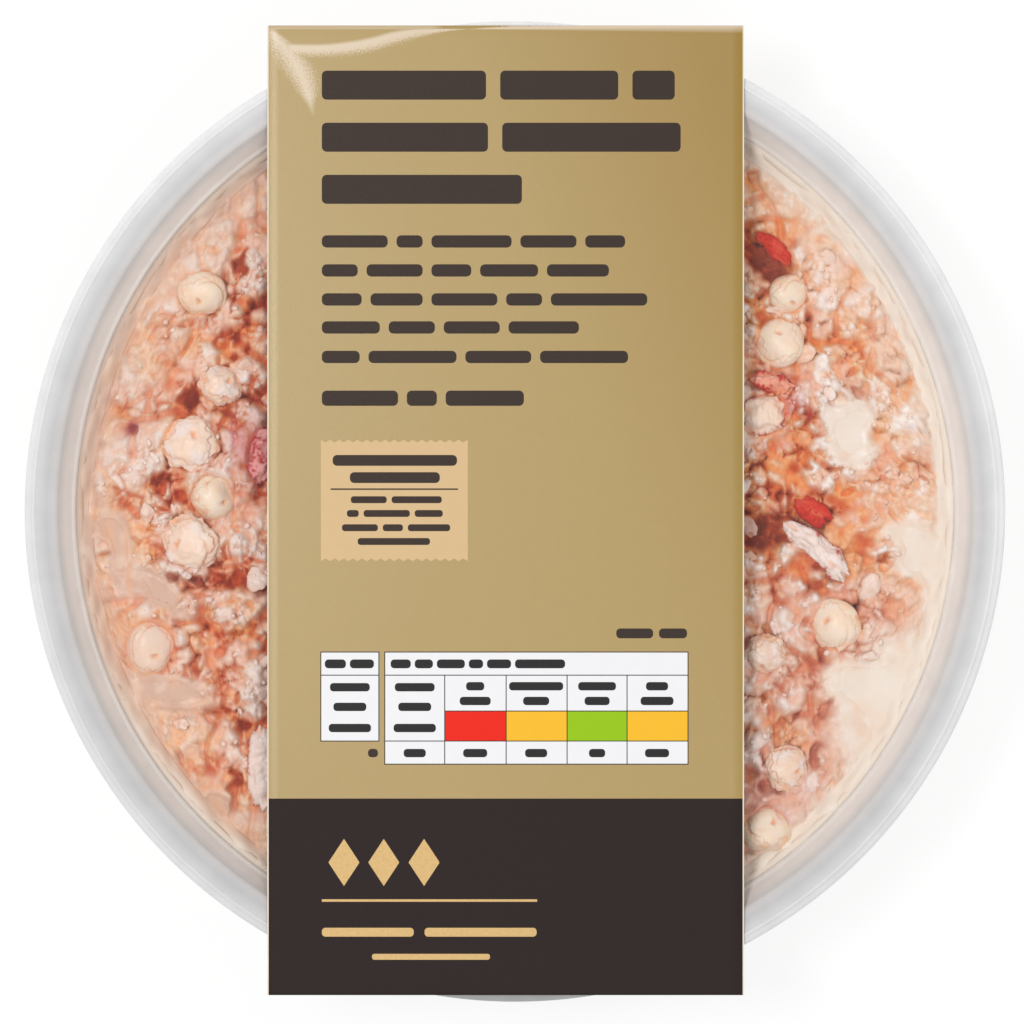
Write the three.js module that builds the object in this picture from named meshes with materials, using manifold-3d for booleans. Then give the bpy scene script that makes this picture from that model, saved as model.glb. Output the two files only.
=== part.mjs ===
// A shut pack of prawn cocktail: a round clear tub with a press-on lid, full of pale cocktail sauce,
// flaked crab, curled prawns and lobster pieces, with a card sleeve wrapped round it.
// Millimetres, +Z up. The origin is on the tub's axis, level with the sleeve's underside.

import * as THREE from 'three';
import { mergeVertices } from 'three/addons/utils/BufferGeometryUtils.js';
import Module from 'manifold-3d';

const wasm = await Module();
wasm.setup();

// ---- driving dimensions ------------------------------------------------------------------------

const rimRadius = 100;        // over the lid's skirt
const packHeight = 50;        // over the sleeve
const wall = 0.8;             // thickness of tub and lid
const fit = 0.3;              // gap left where two pieces meet
const roundSegments = 56;     // facets round the tub and the lid

const cardThickness = 0.5;
const sleeveWidth = 97;       // along X, across the pack
const sleeveLength = 197.9;   // along Y, to where the faces meet over the top folds
const sleeveBaseLength = 162; // the end walls slope in to the tub's foot
const sleeveShiftX = -1.9;    // the sleeve sits a little off the tub's axis
const sleeveShiftY = 0.25;
const foldRadius = 1;
const foldSegments = 3;
const slotTopWidth = 42;      // the rim shows through a slot in each end wall
const slotBottomWidth = 62;
const slotBottom = 43.2;

const footRadius = 76;        // the tub stands on this ring
const footHeight = 1.5;       // how far the base is raised inside the foot
const shoulderHeight = 38.2;  // where the wall steps out for the lid's plug
const flangeTop = 47.7;       // top of the tub's flange
const flangeRadius = 98.8;

const lidFlangeTop = 48.8;
const panelTop = 43.7;        // the lid's flat, sunken panel
const panelRadius = 89.6;

const sauceLevel = 41;        // sauce at the tub's wall
const heapFloor = 27;         // the crab heap sits in the sauce down to here
const heapLevel = 40.6;       // middle height of the heap's top
const heapReach = 88.4;       // how near the wall the heap comes
const toppingTop = 42.5;      // the highest prawns and lobster pieces, just under the panel
const heapSegments = 64;

// ---- colours -----------------------------------------------------------------------------------

const clearPlastic = () => new THREE.MeshStandardMaterial({
  color: 0xe9edee,
  roughness: 0.15,
  metalness: 0,
  transparent: true,
  opacity: 0.3,
});
const goldCard = () => new THREE.MeshStandardMaterial({ color: 0xbca373, roughness: 0.45, metalness: 0 });
const paleSauce = () => new THREE.MeshStandardMaterial({ color: 0xe2cab6, roughness: 0.3, metalness: 0 });
const flakedCrab = () => new THREE.MeshStandardMaterial({ color: 0xe3b79c, roughness: 0.4, metalness: 0 });
const prawnFlesh = () => new THREE.MeshStandardMaterial({ color: 0xe8cdb8, roughness: 0.3, metalness: 0 });
const lobsterFlesh = () => new THREE.MeshStandardMaterial({ color: 0xc8604f, roughness: 0.35, metalness: 0 });

// ---- helpers -----------------------------------------------------------------------------------

const radians = (degrees) => degrees * Math.PI / 180;

// A repeatable stream of numbers from 0 to 1.
function seededRandom(seed) {
  let state = seed;
  return () => {
    state = (Math.imul(state, 1664525) + 1013904223) >>> 0;
    return state / 4294967296;
  };
}

function namedMesh(name, geometry, material) {
  const mesh = new THREE.Mesh(geometry, material);
  mesh.name = name;
  return mesh;
}

function facedGeometry(positions, triangles) {
  const geometry = new THREE.BufferGeometry();
  geometry.setAttribute('position', new THREE.Float32BufferAttribute(positions, 3));
  geometry.setIndex(triangles);
  geometry.computeVertexNormals();
  return geometry;
}

function toSolid(geometry) {
  const bare = new THREE.BufferGeometry();
  bare.setAttribute('position', geometry.getAttribute('position').clone());
  if (geometry.index) {
    bare.setIndex(geometry.index.clone());
  }
  const merged = mergeVertices(bare, 1e-4);
  const mesh = new wasm.Mesh({
    numProp: 3,
    vertProperties: merged.getAttribute('position').array,
    triVerts: new Uint32Array(merged.index.array),
  });
  return new wasm.Manifold(mesh);
}

// The largest body of a solid as a geometry: loose scraps are dropped, shut hollows are filled, and
// edges finer than the tolerance are merged.
function toGeometry(solid, tolerance) {
  const bodies = solid.simplify(tolerance).decompose();
  bodies.sort((one, other) => other.volume() - one.volume());
  const mesh = bodies[0].getMesh();
  return facedGeometry(Array.from(mesh.vertProperties), Array.from(mesh.triVerts));
}

// A body spun about Z. profileAt(angle) gives the same number of [radius, height] points at every
// angle, from the axis at the bottom, out and up, and back to the axis at the top.
function spunBody(segments, profileAt) {
  const positions = [];
  const triangles = [];
  const startProfile = profileAt(0);
  const ringCount = startProfile.length - 2;
  positions.push(0, 0, startProfile[0][1]);
  for (let step = 0; step < segments; step += 1) {
    const angle = (step / segments) * 2 * Math.PI;
    for (const [radius, height] of profileAt(angle).slice(1, -1)) {
      positions.push(radius * Math.cos(angle), radius * Math.sin(angle), height);
    }
  }
  positions.push(0, 0, startProfile[ringCount + 1][1]);
  const bottomTip = 0;
  const topTip = positions.length / 3 - 1;
  for (let step = 0; step < segments; step += 1) {
    const here = 1 + step * ringCount;
    const next = 1 + ((step + 1) % segments) * ringCount;
    triangles.push(bottomTip, next, here);
    for (let ring = 0; ring < ringCount - 1; ring += 1) {
      triangles.push(here + ring, next + ring, next + ring + 1);
      triangles.push(here + ring, next + ring + 1, here + ring + 1);
    }
    triangles.push(here + ringCount - 1, next + ringCount - 1, topTip);
  }
  return facedGeometry(positions, triangles);
}

// A closed body along a curve: rings of sides points whose size radiusAt(share) gives, with a tip at
// each end. flatness squashes the rings towards the curve's own plane.
function sweptBody(curve, rings, sides, radiusAt, flatness = 1) {
  const frames = curve.computeFrenetFrames(rings + 1, false);
  const positions = [];
  const triangles = [];
  const addPoint = (point) => positions.push(point.x, point.y, point.z);
  addPoint(curve.getPointAt(0));
  for (let ring = 1; ring <= rings; ring += 1) {
    const share = ring / (rings + 1);
    const centre = curve.getPointAt(share);
    for (let side = 0; side < sides; side += 1) {
      const turn = (side / sides) * 2 * Math.PI;
      const across = frames.normals[ring].clone().multiplyScalar(Math.cos(turn) * radiusAt(share));
      const along = frames.binormals[ring].clone();
      along.multiplyScalar(Math.sin(turn) * radiusAt(share) * flatness);
      addPoint(centre.clone().add(across).add(along));
    }
  }
  addPoint(curve.getPointAt(1));
  const lastTip = positions.length / 3 - 1;
  const pointOn = (ring, side) => 1 + ring * sides + (side % sides);
  for (let side = 0; side < sides; side += 1) {
    triangles.push(0, pointOn(0, side + 1), pointOn(0, side));
    for (let ring = 0; ring < rings - 1; ring += 1) {
      triangles.push(pointOn(ring, side), pointOn(ring, side + 1), pointOn(ring + 1, side + 1));
      triangles.push(pointOn(ring, side), pointOn(ring + 1, side + 1), pointOn(ring + 1, side));
    }
    triangles.push(pointOn(rings - 1, side), pointOn(rings - 1, side + 1), lastTip);
  }
  return facedGeometry(positions, triangles);
}

// An egg-shaped solid, used to press a hollow into the heap.
function pressedHollow(centre, halfSize, turn = new THREE.Euler()) {
  const ball = new THREE.SphereGeometry(1, 8, 4);
  ball.rotateX(Math.PI / 2);
  const matrix = new THREE.Matrix4().compose(
    centre,
    new THREE.Quaternion().setFromEuler(turn),
    halfSize,
  );
  ball.applyMatrix4(matrix);
  return toSolid(ball);
}

// ---- tub and lid -------------------------------------------------------------------------------

function lathe(points) {
  const outline = points.map(([radius, height]) => new THREE.Vector2(radius, height));
  const geometry = new THREE.LatheGeometry(outline, roundSegments);
  geometry.rotateX(Math.PI / 2);
  return geometry;
}

const tubFloor = cardThickness + footHeight + wall;
const cornerChamfer = 1.4;
const innerCorner = [78.9, 4];
const innerShoulder = [87.4, 38.6];
const innerPlugSeat = [90.9, 40.8];
const plugTop = 94;           // radius where the lid's plug meets its flange

function buildTub() {
  const baseUnder = cardThickness + footHeight;
  const lipDrop = 2.5;
  const lipInside = flangeRadius - 0.7;
  const outside = [
    [0, baseUnder],
    [footRadius - 6, baseUnder],
    [footRadius - 4, cardThickness],
    [footRadius, cardThickness],
    [innerCorner[0] + wall - 0.1, innerCorner[1] - wall],
    [innerShoulder[0] + wall, shoulderHeight],
    [innerPlugSeat[0] + 0.7, innerPlugSeat[1] - 0.6],
    [plugTop + wall, flangeTop - wall],
    [lipInside, flangeTop - wall],
    [lipInside, flangeTop - lipDrop],
    [flangeRadius, flangeTop - lipDrop],
    [flangeRadius, flangeTop],
  ];
  const inside = [
    [plugTop + fit, flangeTop],
    innerPlugSeat,
    innerShoulder,
    innerCorner,
    [innerCorner[0] - cornerChamfer, tubFloor],
    [0, tubFloor],
  ];
  return namedMesh('tub', lathe([...outside, ...inside]), clearPlastic());
}

function buildLid() {
  const skirtBottom = 44.2;
  const skirtInside = rimRadius - wall - 0.1;
  const gripLip = 0.6;
  const beadRadius = 98.1;
  const beadHalf = 0.4;
  const panelEdge = panelRadius + beadHalf;
  const above = [
    [rimRadius, skirtBottom],
    [rimRadius, lidFlangeTop - 0.9],
    [rimRadius - 0.5, lidFlangeTop - 0.2],
    [beadRadius + beadHalf, lidFlangeTop],
    [beadRadius, lidFlangeTop + beadHalf],
    [beadRadius - beadHalf, lidFlangeTop],
    [plugTop, lidFlangeTop],
    [plugTop - 0.7, lidFlangeTop - 0.3],
    [panelEdge + 0.7, panelTop + 0.5],
    [panelEdge, panelTop + 0.5],
    [panelRadius, panelTop],
    [0, panelTop],
  ];
  const below = [
    [0, panelTop - wall],
    [panelEdge + 1, panelTop - wall],
    [plugTop, lidFlangeTop - wall],
    [skirtInside, lidFlangeTop - wall],
    [skirtInside, skirtBottom + 1.3],
    [skirtInside - gripLip, skirtBottom + 0.7],
    [skirtInside - gripLip, skirtBottom],
  ];
  return namedMesh('lid', lathe([...below, ...above]), clearPlastic());
}

// ---- card sleeve -------------------------------------------------------------------------------

// A closed outline through the corners, each rounded over radius.
function foldedLoop(PathClass, corners, radius) {
  const loop = new PathClass();
  corners.forEach((corner, index) => {
    const before = corners[(index + corners.length - 1) % corners.length];
    const after = corners[(index + 1) % corners.length];
    const start = before.clone().sub(corner).setLength(radius).add(corner);
    const end = after.clone().sub(corner).setLength(radius).add(corner);
    if (index === 0) {
      loop.moveTo(start.x, start.y);
    } else {
      loop.lineTo(start.x, start.y);
    }
    loop.quadraticCurveTo(corner.x, corner.y, end.x, end.y);
  });
  loop.closePath();
  return loop;
}

// The sleeve's four folds seen from its open side, inset layers of card inside the outer face.
function foldCorners(inset) {
  const slope = (sleeveLength - sleeveBaseLength) / 2 / packHeight;
  const sidewaysInset = inset * Math.hypot(1, slope);
  const halfAt = (height) => sleeveBaseLength / 2 + slope * height - sidewaysInset;
  const top = packHeight - inset;
  return [
    new THREE.Vector2(halfAt(top), top),
    new THREE.Vector2(-halfAt(top), top),
    new THREE.Vector2(-halfAt(inset), inset),
    new THREE.Vector2(halfAt(inset), inset),
  ];
}

// An outline's X becomes Y, its Y becomes Z, and its depth runs along X.
const sideOn = new THREE.Matrix4().makeBasis(
  new THREE.Vector3(0, 1, 0),
  new THREE.Vector3(0, 0, 1),
  new THREE.Vector3(1, 0, 0),
);

// A slot widens downwards, to clear the rim where the end wall slopes in under it.
function rimSlot(end) {
  const slotTop = packHeight - cardThickness;
  const depth = 14;
  const outline = new THREE.Shape([
    new THREE.Vector2(-slotBottomWidth / 2, slotBottom),
    new THREE.Vector2(slotBottomWidth / 2, slotBottom),
    new THREE.Vector2(slotTopWidth / 2, slotTop),
    new THREE.Vector2(-slotTopWidth / 2, slotTop),
  ]);
  const slot = new THREE.ExtrudeGeometry(outline, { depth, bevelEnabled: false });
  slot.rotateX(Math.PI / 2);
  slot.translate(0, end * (sleeveLength / 2 - 4) + depth / 2, 0);
  return toSolid(slot);
}

function buildSleeve() {
  const outline = foldedLoop(THREE.Shape, foldCorners(0), foldRadius);
  outline.holes.push(foldedLoop(THREE.Path, foldCorners(cardThickness), foldRadius - cardThickness));
  const card = new THREE.ExtrudeGeometry(outline, {
    depth: sleeveWidth,
    bevelEnabled: false,
    curveSegments: foldSegments,
  });
  card.applyMatrix4(sideOn);
  card.translate(sleeveShiftX - sleeveWidth / 2, sleeveShiftY, 0);
  const sleeve = toSolid(card).subtract(rimSlot(-1)).subtract(rimSlot(1));
  return namedMesh('sleeve', toGeometry(sleeve, 0.002), goldCard());
}

// ---- prawns and lobster ------------------------------------------------------------------------

// A prawn's backbone: a flat curl that tightens towards the tail.
class CurlCurve extends THREE.Curve {
  constructor(radius, turn) {
    super();
    this.radius = radius;
    this.turn = turn;
  }

  getPoint(share, target = new THREE.Vector3()) {
    const angle = share * this.turn;
    const reach = this.radius * (1 - 0.22 * share);
    return target.set(reach * Math.cos(angle), reach * Math.sin(angle), 0);
  }
}

// size is the radius of the curled prawn, tilt turns its curl from lying flat to back uppermost.
const prawns = [
  { x: -64.2, y: 44.9, size: 4.9, yaw: 20, tilt: 35, sunk: 0 },
  { x: -67.2, y: 13.7, size: 5.6, yaw: 200, tilt: 10, sunk: 0 },
  { x: -62.3, y: 3, size: 4.9, yaw: 100, tilt: 60, sunk: 0.2 },
  { x: -66.6, y: -7.2, size: 5.7, yaw: 320, tilt: 25, sunk: 0 },
  { x: -75, y: -28, size: 5.6, yaw: 80, tilt: 15, sunk: 1.2 },
  { x: -60.7, y: 26.4, size: 4.1, yaw: 150, tilt: 40, sunk: 0.5 },
  { x: 56.8, y: 44.6, size: 4.3, yaw: 60, tilt: 45, sunk: 0.6 },
  { x: 53.8, y: 34.4, size: 5.3, yaw: 240, tilt: 20, sunk: 0 },
  { x: 66.2, y: -23.5, size: 5.5, yaw: 290, tilt: 30, sunk: 0.2 },
  { x: 51.5, y: -29.4, size: 4.2, yaw: 10, tilt: 70, sunk: 0.4 },
  { x: 51.8, y: -65.2, size: 5, yaw: 180, tilt: 50, sunk: 0 },
  { x: 55.8, y: -52.6, size: 4.4, yaw: 120, tilt: 30, sunk: 0.4 },
  { x: -28, y: 38, size: 5.3, yaw: 45, tilt: 20, sunk: 0.4 },
  { x: 24, y: 16, size: 5.2, yaw: 300, tilt: 40, sunk: 0.3 },
  { x: -22, y: -40, size: 5.5, yaw: 160, tilt: 15, sunk: 0.5 },
];

const prawnTurn = radians(285);
const prawnRings = 9;
const prawnSides = 7;
const backboneShare = 0.6;    // of the curled prawn's radius
const thickestShare = 0.62;

// Blunt at the head end, thickest a quarter of the way along, slim at the tail.
function prawnThickness(share) {
  const ends = Math.sqrt(1 - Math.abs(2 * share - 1) ** 4);
  return ends * (1 - 0.55 * share);
}

function prawnBody(size) {
  const curl = new CurlCurve(size * backboneShare, prawnTurn);
  const thickness = (share) => size * thickestShare * prawnThickness(share);
  return sweptBody(curl, prawnRings, prawnSides, thickness);
}

// length runs along the piece, yaw turns it in plan, and the top is level with the prawns' tops.
const lobsterPieces = [
  { x: 53.8, y: 54.1, length: 9.4, width: 3.2, height: 3, yaw: -40, sunk: 1.2 },
  { x: 51.1, y: 19.7, length: 8.6, width: 7.8, height: 6, yaw: 10, sunk: 0 },
  { x: 53.2, y: 26.4, length: 8.2, width: 3.4, height: 4, yaw: -12, sunk: 0.9 },
  { x: 61.5, y: -0.1, length: 7.4, width: 4.4, height: 4, yaw: -32, sunk: 0.4 },
  { x: 62.2, y: -7.9, length: 16.4, width: 5, height: 5, yaw: -40, sunk: 0 },
  { x: -52.4, y: 11.5, length: 10.5, width: 5, height: 5, yaw: 82, sunk: 0.8 },
  { x: -51.8, y: -53, length: 17, width: 6, height: 6, yaw: 92, sunk: 0.3 },
  { x: 2, y: 44, length: 14, width: 7, height: 6, yaw: 25, sunk: 0.3 },
  { x: -4, y: -4, length: 16, width: 7, height: 6, yaw: -35, sunk: 0.3 },
];

const lobsterRings = 4;
const lobsterSides = 6;

function lobsterBody(piece, random) {
  const bend = piece.length * 0.06;
  const spine = new THREE.QuadraticBezierCurve3(
    new THREE.Vector3(-piece.length / 2, 0, 0),
    new THREE.Vector3(0, bend, 0),
    new THREE.Vector3(piece.length / 2, 0, 0),
  );
  const wobbles = Array.from({ length: lobsterRings + 2 }, () => 0.86 + 0.28 * random());
  const halfWidth = (share) => {
    const wobble = wobbles[Math.round(share * (lobsterRings + 1))];
    return (piece.width / 2) * wobble * Math.sqrt(1 - Math.abs(2 * share - 1) ** 6);
  };
  return sweptBody(spine, lobsterRings, lobsterSides, halfWidth, piece.height / piece.width);
}

// Turns a topping about its own centre and sets its top at the right height over (x, y).
function settle(geometry, { x, y, sunk }, turn) {
  geometry.computeBoundingBox();
  const middle = geometry.boundingBox.getCenter(new THREE.Vector3());
  geometry.translate(-middle.x, -middle.y, -middle.z);
  geometry.applyQuaternion(new THREE.Quaternion().setFromEuler(turn));
  geometry.computeBoundingBox();
  const lift = toppingTop - sunk - geometry.boundingBox.max.z;
  geometry.translate(x, y, lift);
  return new THREE.Vector3(x, y, lift);
}

// Each topping is its mesh, its centre, its reach in plan, and the hollow that it lies in.
function buildToppings() {
  const random = seededRandom(11);
  const toppings = [];
  const numbered = (word, index) => `${word}_${String(index + 1).padStart(2, '0')}`;
  prawns.forEach((prawn, index) => {
    const body = prawnBody(prawn.size);
    const turn = new THREE.Euler(radians(prawn.tilt), 0, radians(prawn.yaw), 'ZYX');
    const centre = settle(body, prawn, turn);
    const across = prawn.size * 1.14 + fit;
    const through = prawn.size * 0.72 + fit;
    toppings.push({
      mesh: namedMesh(numbered('prawn', index), body, prawnFlesh()),
      centre,
      reach: across,
      hollow: pressedHollow(centre, new THREE.Vector3(across, across, through), turn),
    });
  });
  lobsterPieces.forEach((piece, index) => {
    const body = lobsterBody(piece, random);
    const turn = new THREE.Euler(0, 0, radians(piece.yaw), 'ZYX');
    const centre = settle(body, piece, turn);
    const halfSize = new THREE.Vector3(
      piece.length * 0.62 + fit,
      piece.width * 0.78 + fit,
      piece.height * 0.78 + fit,
    );
    toppings.push({
      mesh: namedMesh(numbered('lobster', index), body, lobsterFlesh()),
      centre,
      reach: piece.length * 0.55,
      hollow: pressedHollow(centre, halfSize, turn),
    });
  });
  return toppings;
}

// ---- sauce and crab heap -----------------------------------------------------------------------

// The sauce shows as pools where the heap draws back from the wall.
const sauceBays = [
  { angle: radians(187), depth: 9, spread: radians(13) },
  { angle: radians(-22), depth: 15, spread: radians(15) },
  { angle: radians(217), depth: 6, spread: radians(8) },
];

function heapRadius(angle) {
  const ripple = 0.54 * Math.sin(7 * angle + 1) + 0.36 * Math.sin(17 * angle);
  let radius = heapReach - 1 + ripple;
  for (const bay of sauceBays) {
    const apart = Math.atan2(Math.sin(angle - bay.angle), Math.cos(angle - bay.angle));
    radius -= bay.depth * Math.exp(-((apart / bay.spread) ** 2));
  }
  return radius;
}

// The heap's side widens upwards: how far each of its rings draws in below the edge.
const footInset = 8;
const shoulderInset = 3.8;
const edgeHeight = 39.9;
const poolDip = 0.8;          // pools lie this much under the sauce at the wall
const poolWidth = 6;          // from the wall to where a pool has its full dip
const sauceClearance = 0.45;  // kept all round, because the facets cut inside the true curves

function heapSide(angle, clear) {
  const edge = heapRadius(angle) + clear;
  return [
    [edge - footInset, heapFloor],
    [edge - shoulderInset, shoulderHeight],
    [edge, edgeHeight],
  ];
}

function buildSauce(toppings) {
  const profileAt = (angle) => {
    const side = heapSide(angle, sauceClearance).reverse();
    const outer = innerPlugSeat[0] - fit;
    const pooled = Math.min(1, (outer - side[0][0]) / poolWidth);
    return [
      [0, tubFloor],
      [innerCorner[0] - cornerChamfer - fit, tubFloor],
      [innerCorner[0] - sauceClearance, innerCorner[1] + 0.2],
      [innerShoulder[0] - sauceClearance, innerShoulder[1] + 0.2],
      [outer, sauceLevel],
      [side[0][0] + 0.3, sauceLevel - poolDip * pooled],
      ...side,
      [0, heapFloor],
    ];
  };
  let sauce = toSolid(spunBody(heapSegments, profileAt));
  for (const topping of toppings) {
    sauce = sauce.subtract(topping.hollow);
  }
  return namedMesh('cocktail_sauce', toGeometry(sauce, 0.005), paleSauce());
}

// Deep gaps between the clumps of crab: place, half width, half length, depth and turn in plan.
const crevices = [
  { x: 51.1, y: -5, across: 4, along: 4.8, depth: 9, yaw: 20 },
  { x: 52, y: 52, across: 3, along: 6, depth: 7, yaw: -38 },
  { x: -56, y: 50.4, across: 2.6, along: 4.4, depth: 6, yaw: 50 },
  { x: -61.5, y: 34.6, across: 2.2, along: 2.6, depth: 4, yaw: 0 },
  { x: -67, y: 23.5, across: 2.4, along: 3, depth: 5, yaw: 60 },
  { x: -73.6, y: 5.6, across: 2, along: 3.4, depth: 5, yaw: 80 },
  { x: -58.6, y: -14, across: 2.4, along: 6, depth: 6, yaw: 5 },
  { x: -57.6, y: -44, across: 2.6, along: 3, depth: 5, yaw: 30 },
  { x: -57.6, y: -57, across: 2.2, along: 5, depth: 6, yaw: 85 },
  { x: 62, y: -15.5, across: 2, along: 6, depth: 6, yaw: -42 },
  { x: 77, y: -19.5, across: 2.4, along: 3.6, depth: 5, yaw: -60 },
  { x: 62, y: -50, across: 1.8, along: 4, depth: 5, yaw: 60 },
];

// Low rolling lumps, about 20 mm from crest to crest.
function heapHeight(x, y) {
  const roll = Math.sin(x / 3.4 + 0.6) * Math.cos(y / 3.9) + 0.7 * Math.sin((x + y) / 5.3);
  return heapLevel + 0.6 * roll;
}

function heapCore() {
  const shares = [0.97, 0.92, 0.865, 0.81, 0.755, 0.7, 0.645, 0.59, 0.45, 0.2];
  const profileAt = (angle) => {
    const edge = heapRadius(angle);
    const top = shares.map((share) => {
      const reach = edge * share;
      return [reach, heapHeight(reach * Math.cos(angle), reach * Math.sin(angle))];
    });
    return [
      [0, heapFloor],
      ...heapSide(angle, 0),
      ...top,
      [0, heapHeight(0, 0)],
    ];
  };
  return toSolid(spunBody(heapSegments, profileAt));
}

// One shred of crab: a jagged chunk with 20 faces.
function crabFlake(random, centre, size) {
  const chunk = new THREE.IcosahedronGeometry(1, 0);
  const bare = new THREE.BufferGeometry();
  bare.setAttribute('position', chunk.getAttribute('position'));
  const merged = mergeVertices(bare);
  const points = merged.getAttribute('position');
  for (let index = 0; index < points.count; index += 1) {
    const stretch = 0.75 + 0.5 * random();
    points.setXYZ(
      index,
      points.getX(index) * stretch,
      points.getY(index) * stretch,
      points.getZ(index) * stretch,
    );
  }
  const lean = () => 0.7 * (random() - 0.5);
  const turn = new THREE.Euler(lean(), lean(), 2 * Math.PI * random(), 'ZYX');
  const matrix = new THREE.Matrix4().compose(
    centre,
    new THREE.Quaternion().setFromEuler(turn),
    new THREE.Vector3(size, size * (0.5 + 0.3 * random()), size * 0.55),
  );
  merged.applyMatrix4(matrix);
  return toSolid(merged);
}

const flakeCount = 60;
const flakeLongest = 3.6;     // half length of the largest flakes
const flakeShortest = 1.8;

// Flakes lie on the heap in a sunflower spiral, largest first, and keep off the toppings.
function buildHeap(toppings) {
  const random = seededRandom(7);
  const goldenAngle = radians(137.50776);
  const innermost = 40;
  let heap = heapCore();
  for (const gap of crevices) {
    const middle = new THREE.Vector3(gap.x, gap.y, heapHeight(gap.x, gap.y));
    const halfSize = new THREE.Vector3(gap.along, gap.across, gap.depth);
    heap = heap.subtract(pressedHollow(middle, halfSize, new THREE.Euler(0, 0, radians(gap.yaw))));
  }
  for (const topping of toppings) {
    heap = heap.subtract(topping.hollow);
  }
  const flakes = [];
  for (let index = 0; index < flakeCount; index += 1) {
    const share = (index + 0.5) / flakeCount;
    const angle = index * goldenAngle;
    const size = THREE.MathUtils.lerp(flakeLongest, flakeShortest, share);
    const outermost = heapRadius(angle) - size * 1.3;
    const reach = Math.sqrt(THREE.MathUtils.lerp(innermost ** 2, outermost ** 2, random()));
    const x = reach * Math.cos(angle);
    const y = reach * Math.sin(angle);
    const height = Math.min(heapHeight(x, y), toppingTop - size * 0.75);
    const centre = new THREE.Vector3(x, y, height);
    const blocked = toppings.some((topping) => {
      const apart = Math.hypot(topping.centre.x - x, topping.centre.y - y);
      return apart < topping.reach + size * 1.25 + fit;
    });
    const overGap = crevices.some((gap) => Math.hypot(gap.x - x, gap.y - y) < gap.along + size * 0.6);
    const flake = crabFlake(random, centre, size);
    if (!blocked && !overGap) {
      flakes.push(flake);
    }
  }
  for (const flake of flakes) {
    heap = heap.add(flake);
  }
  return namedMesh('crab_heap', toGeometry(heap, 0.12), flakedCrab());
}

// ---- the whole pack ----------------------------------------------------------------------------

const pack = new THREE.Group();
const toppings = buildToppings();
pack.add(buildTub());
pack.add(buildLid());
pack.add(buildSleeve());
pack.add(buildSauce(toppings));
pack.add(buildHeap(toppings));
for (const topping of toppings) {
  pack.add(topping.mesh);
}

export default pack;
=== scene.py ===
"""The looks of a shut pack of prawn cocktail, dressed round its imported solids.

A clear tub with a press-on lid is full of sauce, flaked crab, curled prawns and lobster pieces, and
a printed card sleeve is wrapped round it. Sizes are in millimetres, in the part's own frame, and
become metres when a mesh is made.
"""

from __future__ import annotations

import itertools
import logging
import math
from dataclasses import dataclass, field
from enum import Enum

import bmesh
import bpy
import numpy as np
from mathutils import Euler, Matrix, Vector

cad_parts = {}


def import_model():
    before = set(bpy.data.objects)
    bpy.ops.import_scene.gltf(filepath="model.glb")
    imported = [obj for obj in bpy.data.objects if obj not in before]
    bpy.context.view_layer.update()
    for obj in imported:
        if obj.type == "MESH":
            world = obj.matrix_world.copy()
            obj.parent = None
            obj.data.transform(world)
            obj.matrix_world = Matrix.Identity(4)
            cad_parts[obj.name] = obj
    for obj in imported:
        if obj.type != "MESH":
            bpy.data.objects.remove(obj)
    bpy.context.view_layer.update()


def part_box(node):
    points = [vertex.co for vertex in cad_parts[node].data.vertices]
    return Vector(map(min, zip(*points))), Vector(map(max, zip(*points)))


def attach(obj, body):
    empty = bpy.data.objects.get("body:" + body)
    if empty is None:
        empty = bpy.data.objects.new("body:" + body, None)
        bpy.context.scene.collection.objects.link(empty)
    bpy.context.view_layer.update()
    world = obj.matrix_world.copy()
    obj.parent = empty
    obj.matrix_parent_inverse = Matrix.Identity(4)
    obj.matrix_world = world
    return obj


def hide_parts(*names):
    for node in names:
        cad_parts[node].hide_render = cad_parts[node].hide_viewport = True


MM = 0.001
BODY = "root"
TONE = "tone"
NUMBER = "NodeSocketFloat"
# How fast and how far the plastic's gloss grows towards a view along its surface.
GLAZE_POWER = 5
GLAZE_MOST = 0.7
# The height, in millimetres, that the lid presses the food down to.
UNDER_LID = 42.75
# How far in from its cut edges the sleeve hides the food.
EDGE_SHADE = 1.5
# Sizes that several parts of the pack share: the top of the lid's flange, where its plug ends, and
# radius and height of the tub's inside at the foot, the shoulder and the lip.
FLANGE_TOP = 48.8
PLUG_TOP = 94.0
WALL_INSIDE = ((78.9, 4.0), (87.4, 38.6), (90.9, 40.8))

LOG = logging.getLogger("prawn_cocktail")

Span = tuple[float, float]
Triple = tuple[float, float, float]
Box = tuple[float, float, float, float]
Colour = Triple
Stops = tuple[Span, ...]
Socket = bpy.types.NodeSocket
Source = Socket | float | Triple
Inputs = dict[str | int, Source]


# ---- colours -----------------------------------------------------------------------------------


def srgb(red: float, green: float, blue: float) -> Colour:
    """Gives the linear colour for sRGB parts that run from 0 to 255."""
    return tuple(((part / 255 + 0.055) / 1.055) ** 2.4 for part in (red, green, blue))


def blend(one: np.ndarray, other: Colour | np.ndarray, share: np.ndarray | float) -> np.ndarray:
    """Mixes two colours, point by point.

    Args:
        one: Colours that the mix starts from, one row a point.
        other: The colour, or colours, that the mix goes to.
        share: How far it goes, from 0 to 1, one number a point.

    Returns:
        The mixed colours.
    """
    share = np.clip(np.asarray(share, float), 0, 1)[..., None]
    return one * (1 - share) + np.asarray(other, float) * share


def plain(colour: Colour, shape: tuple[int, ...]) -> np.ndarray:
    """Gives one colour to every point of an array of that shape."""
    return np.broadcast_to(np.array(colour), (*shape, 3)).copy()


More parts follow.
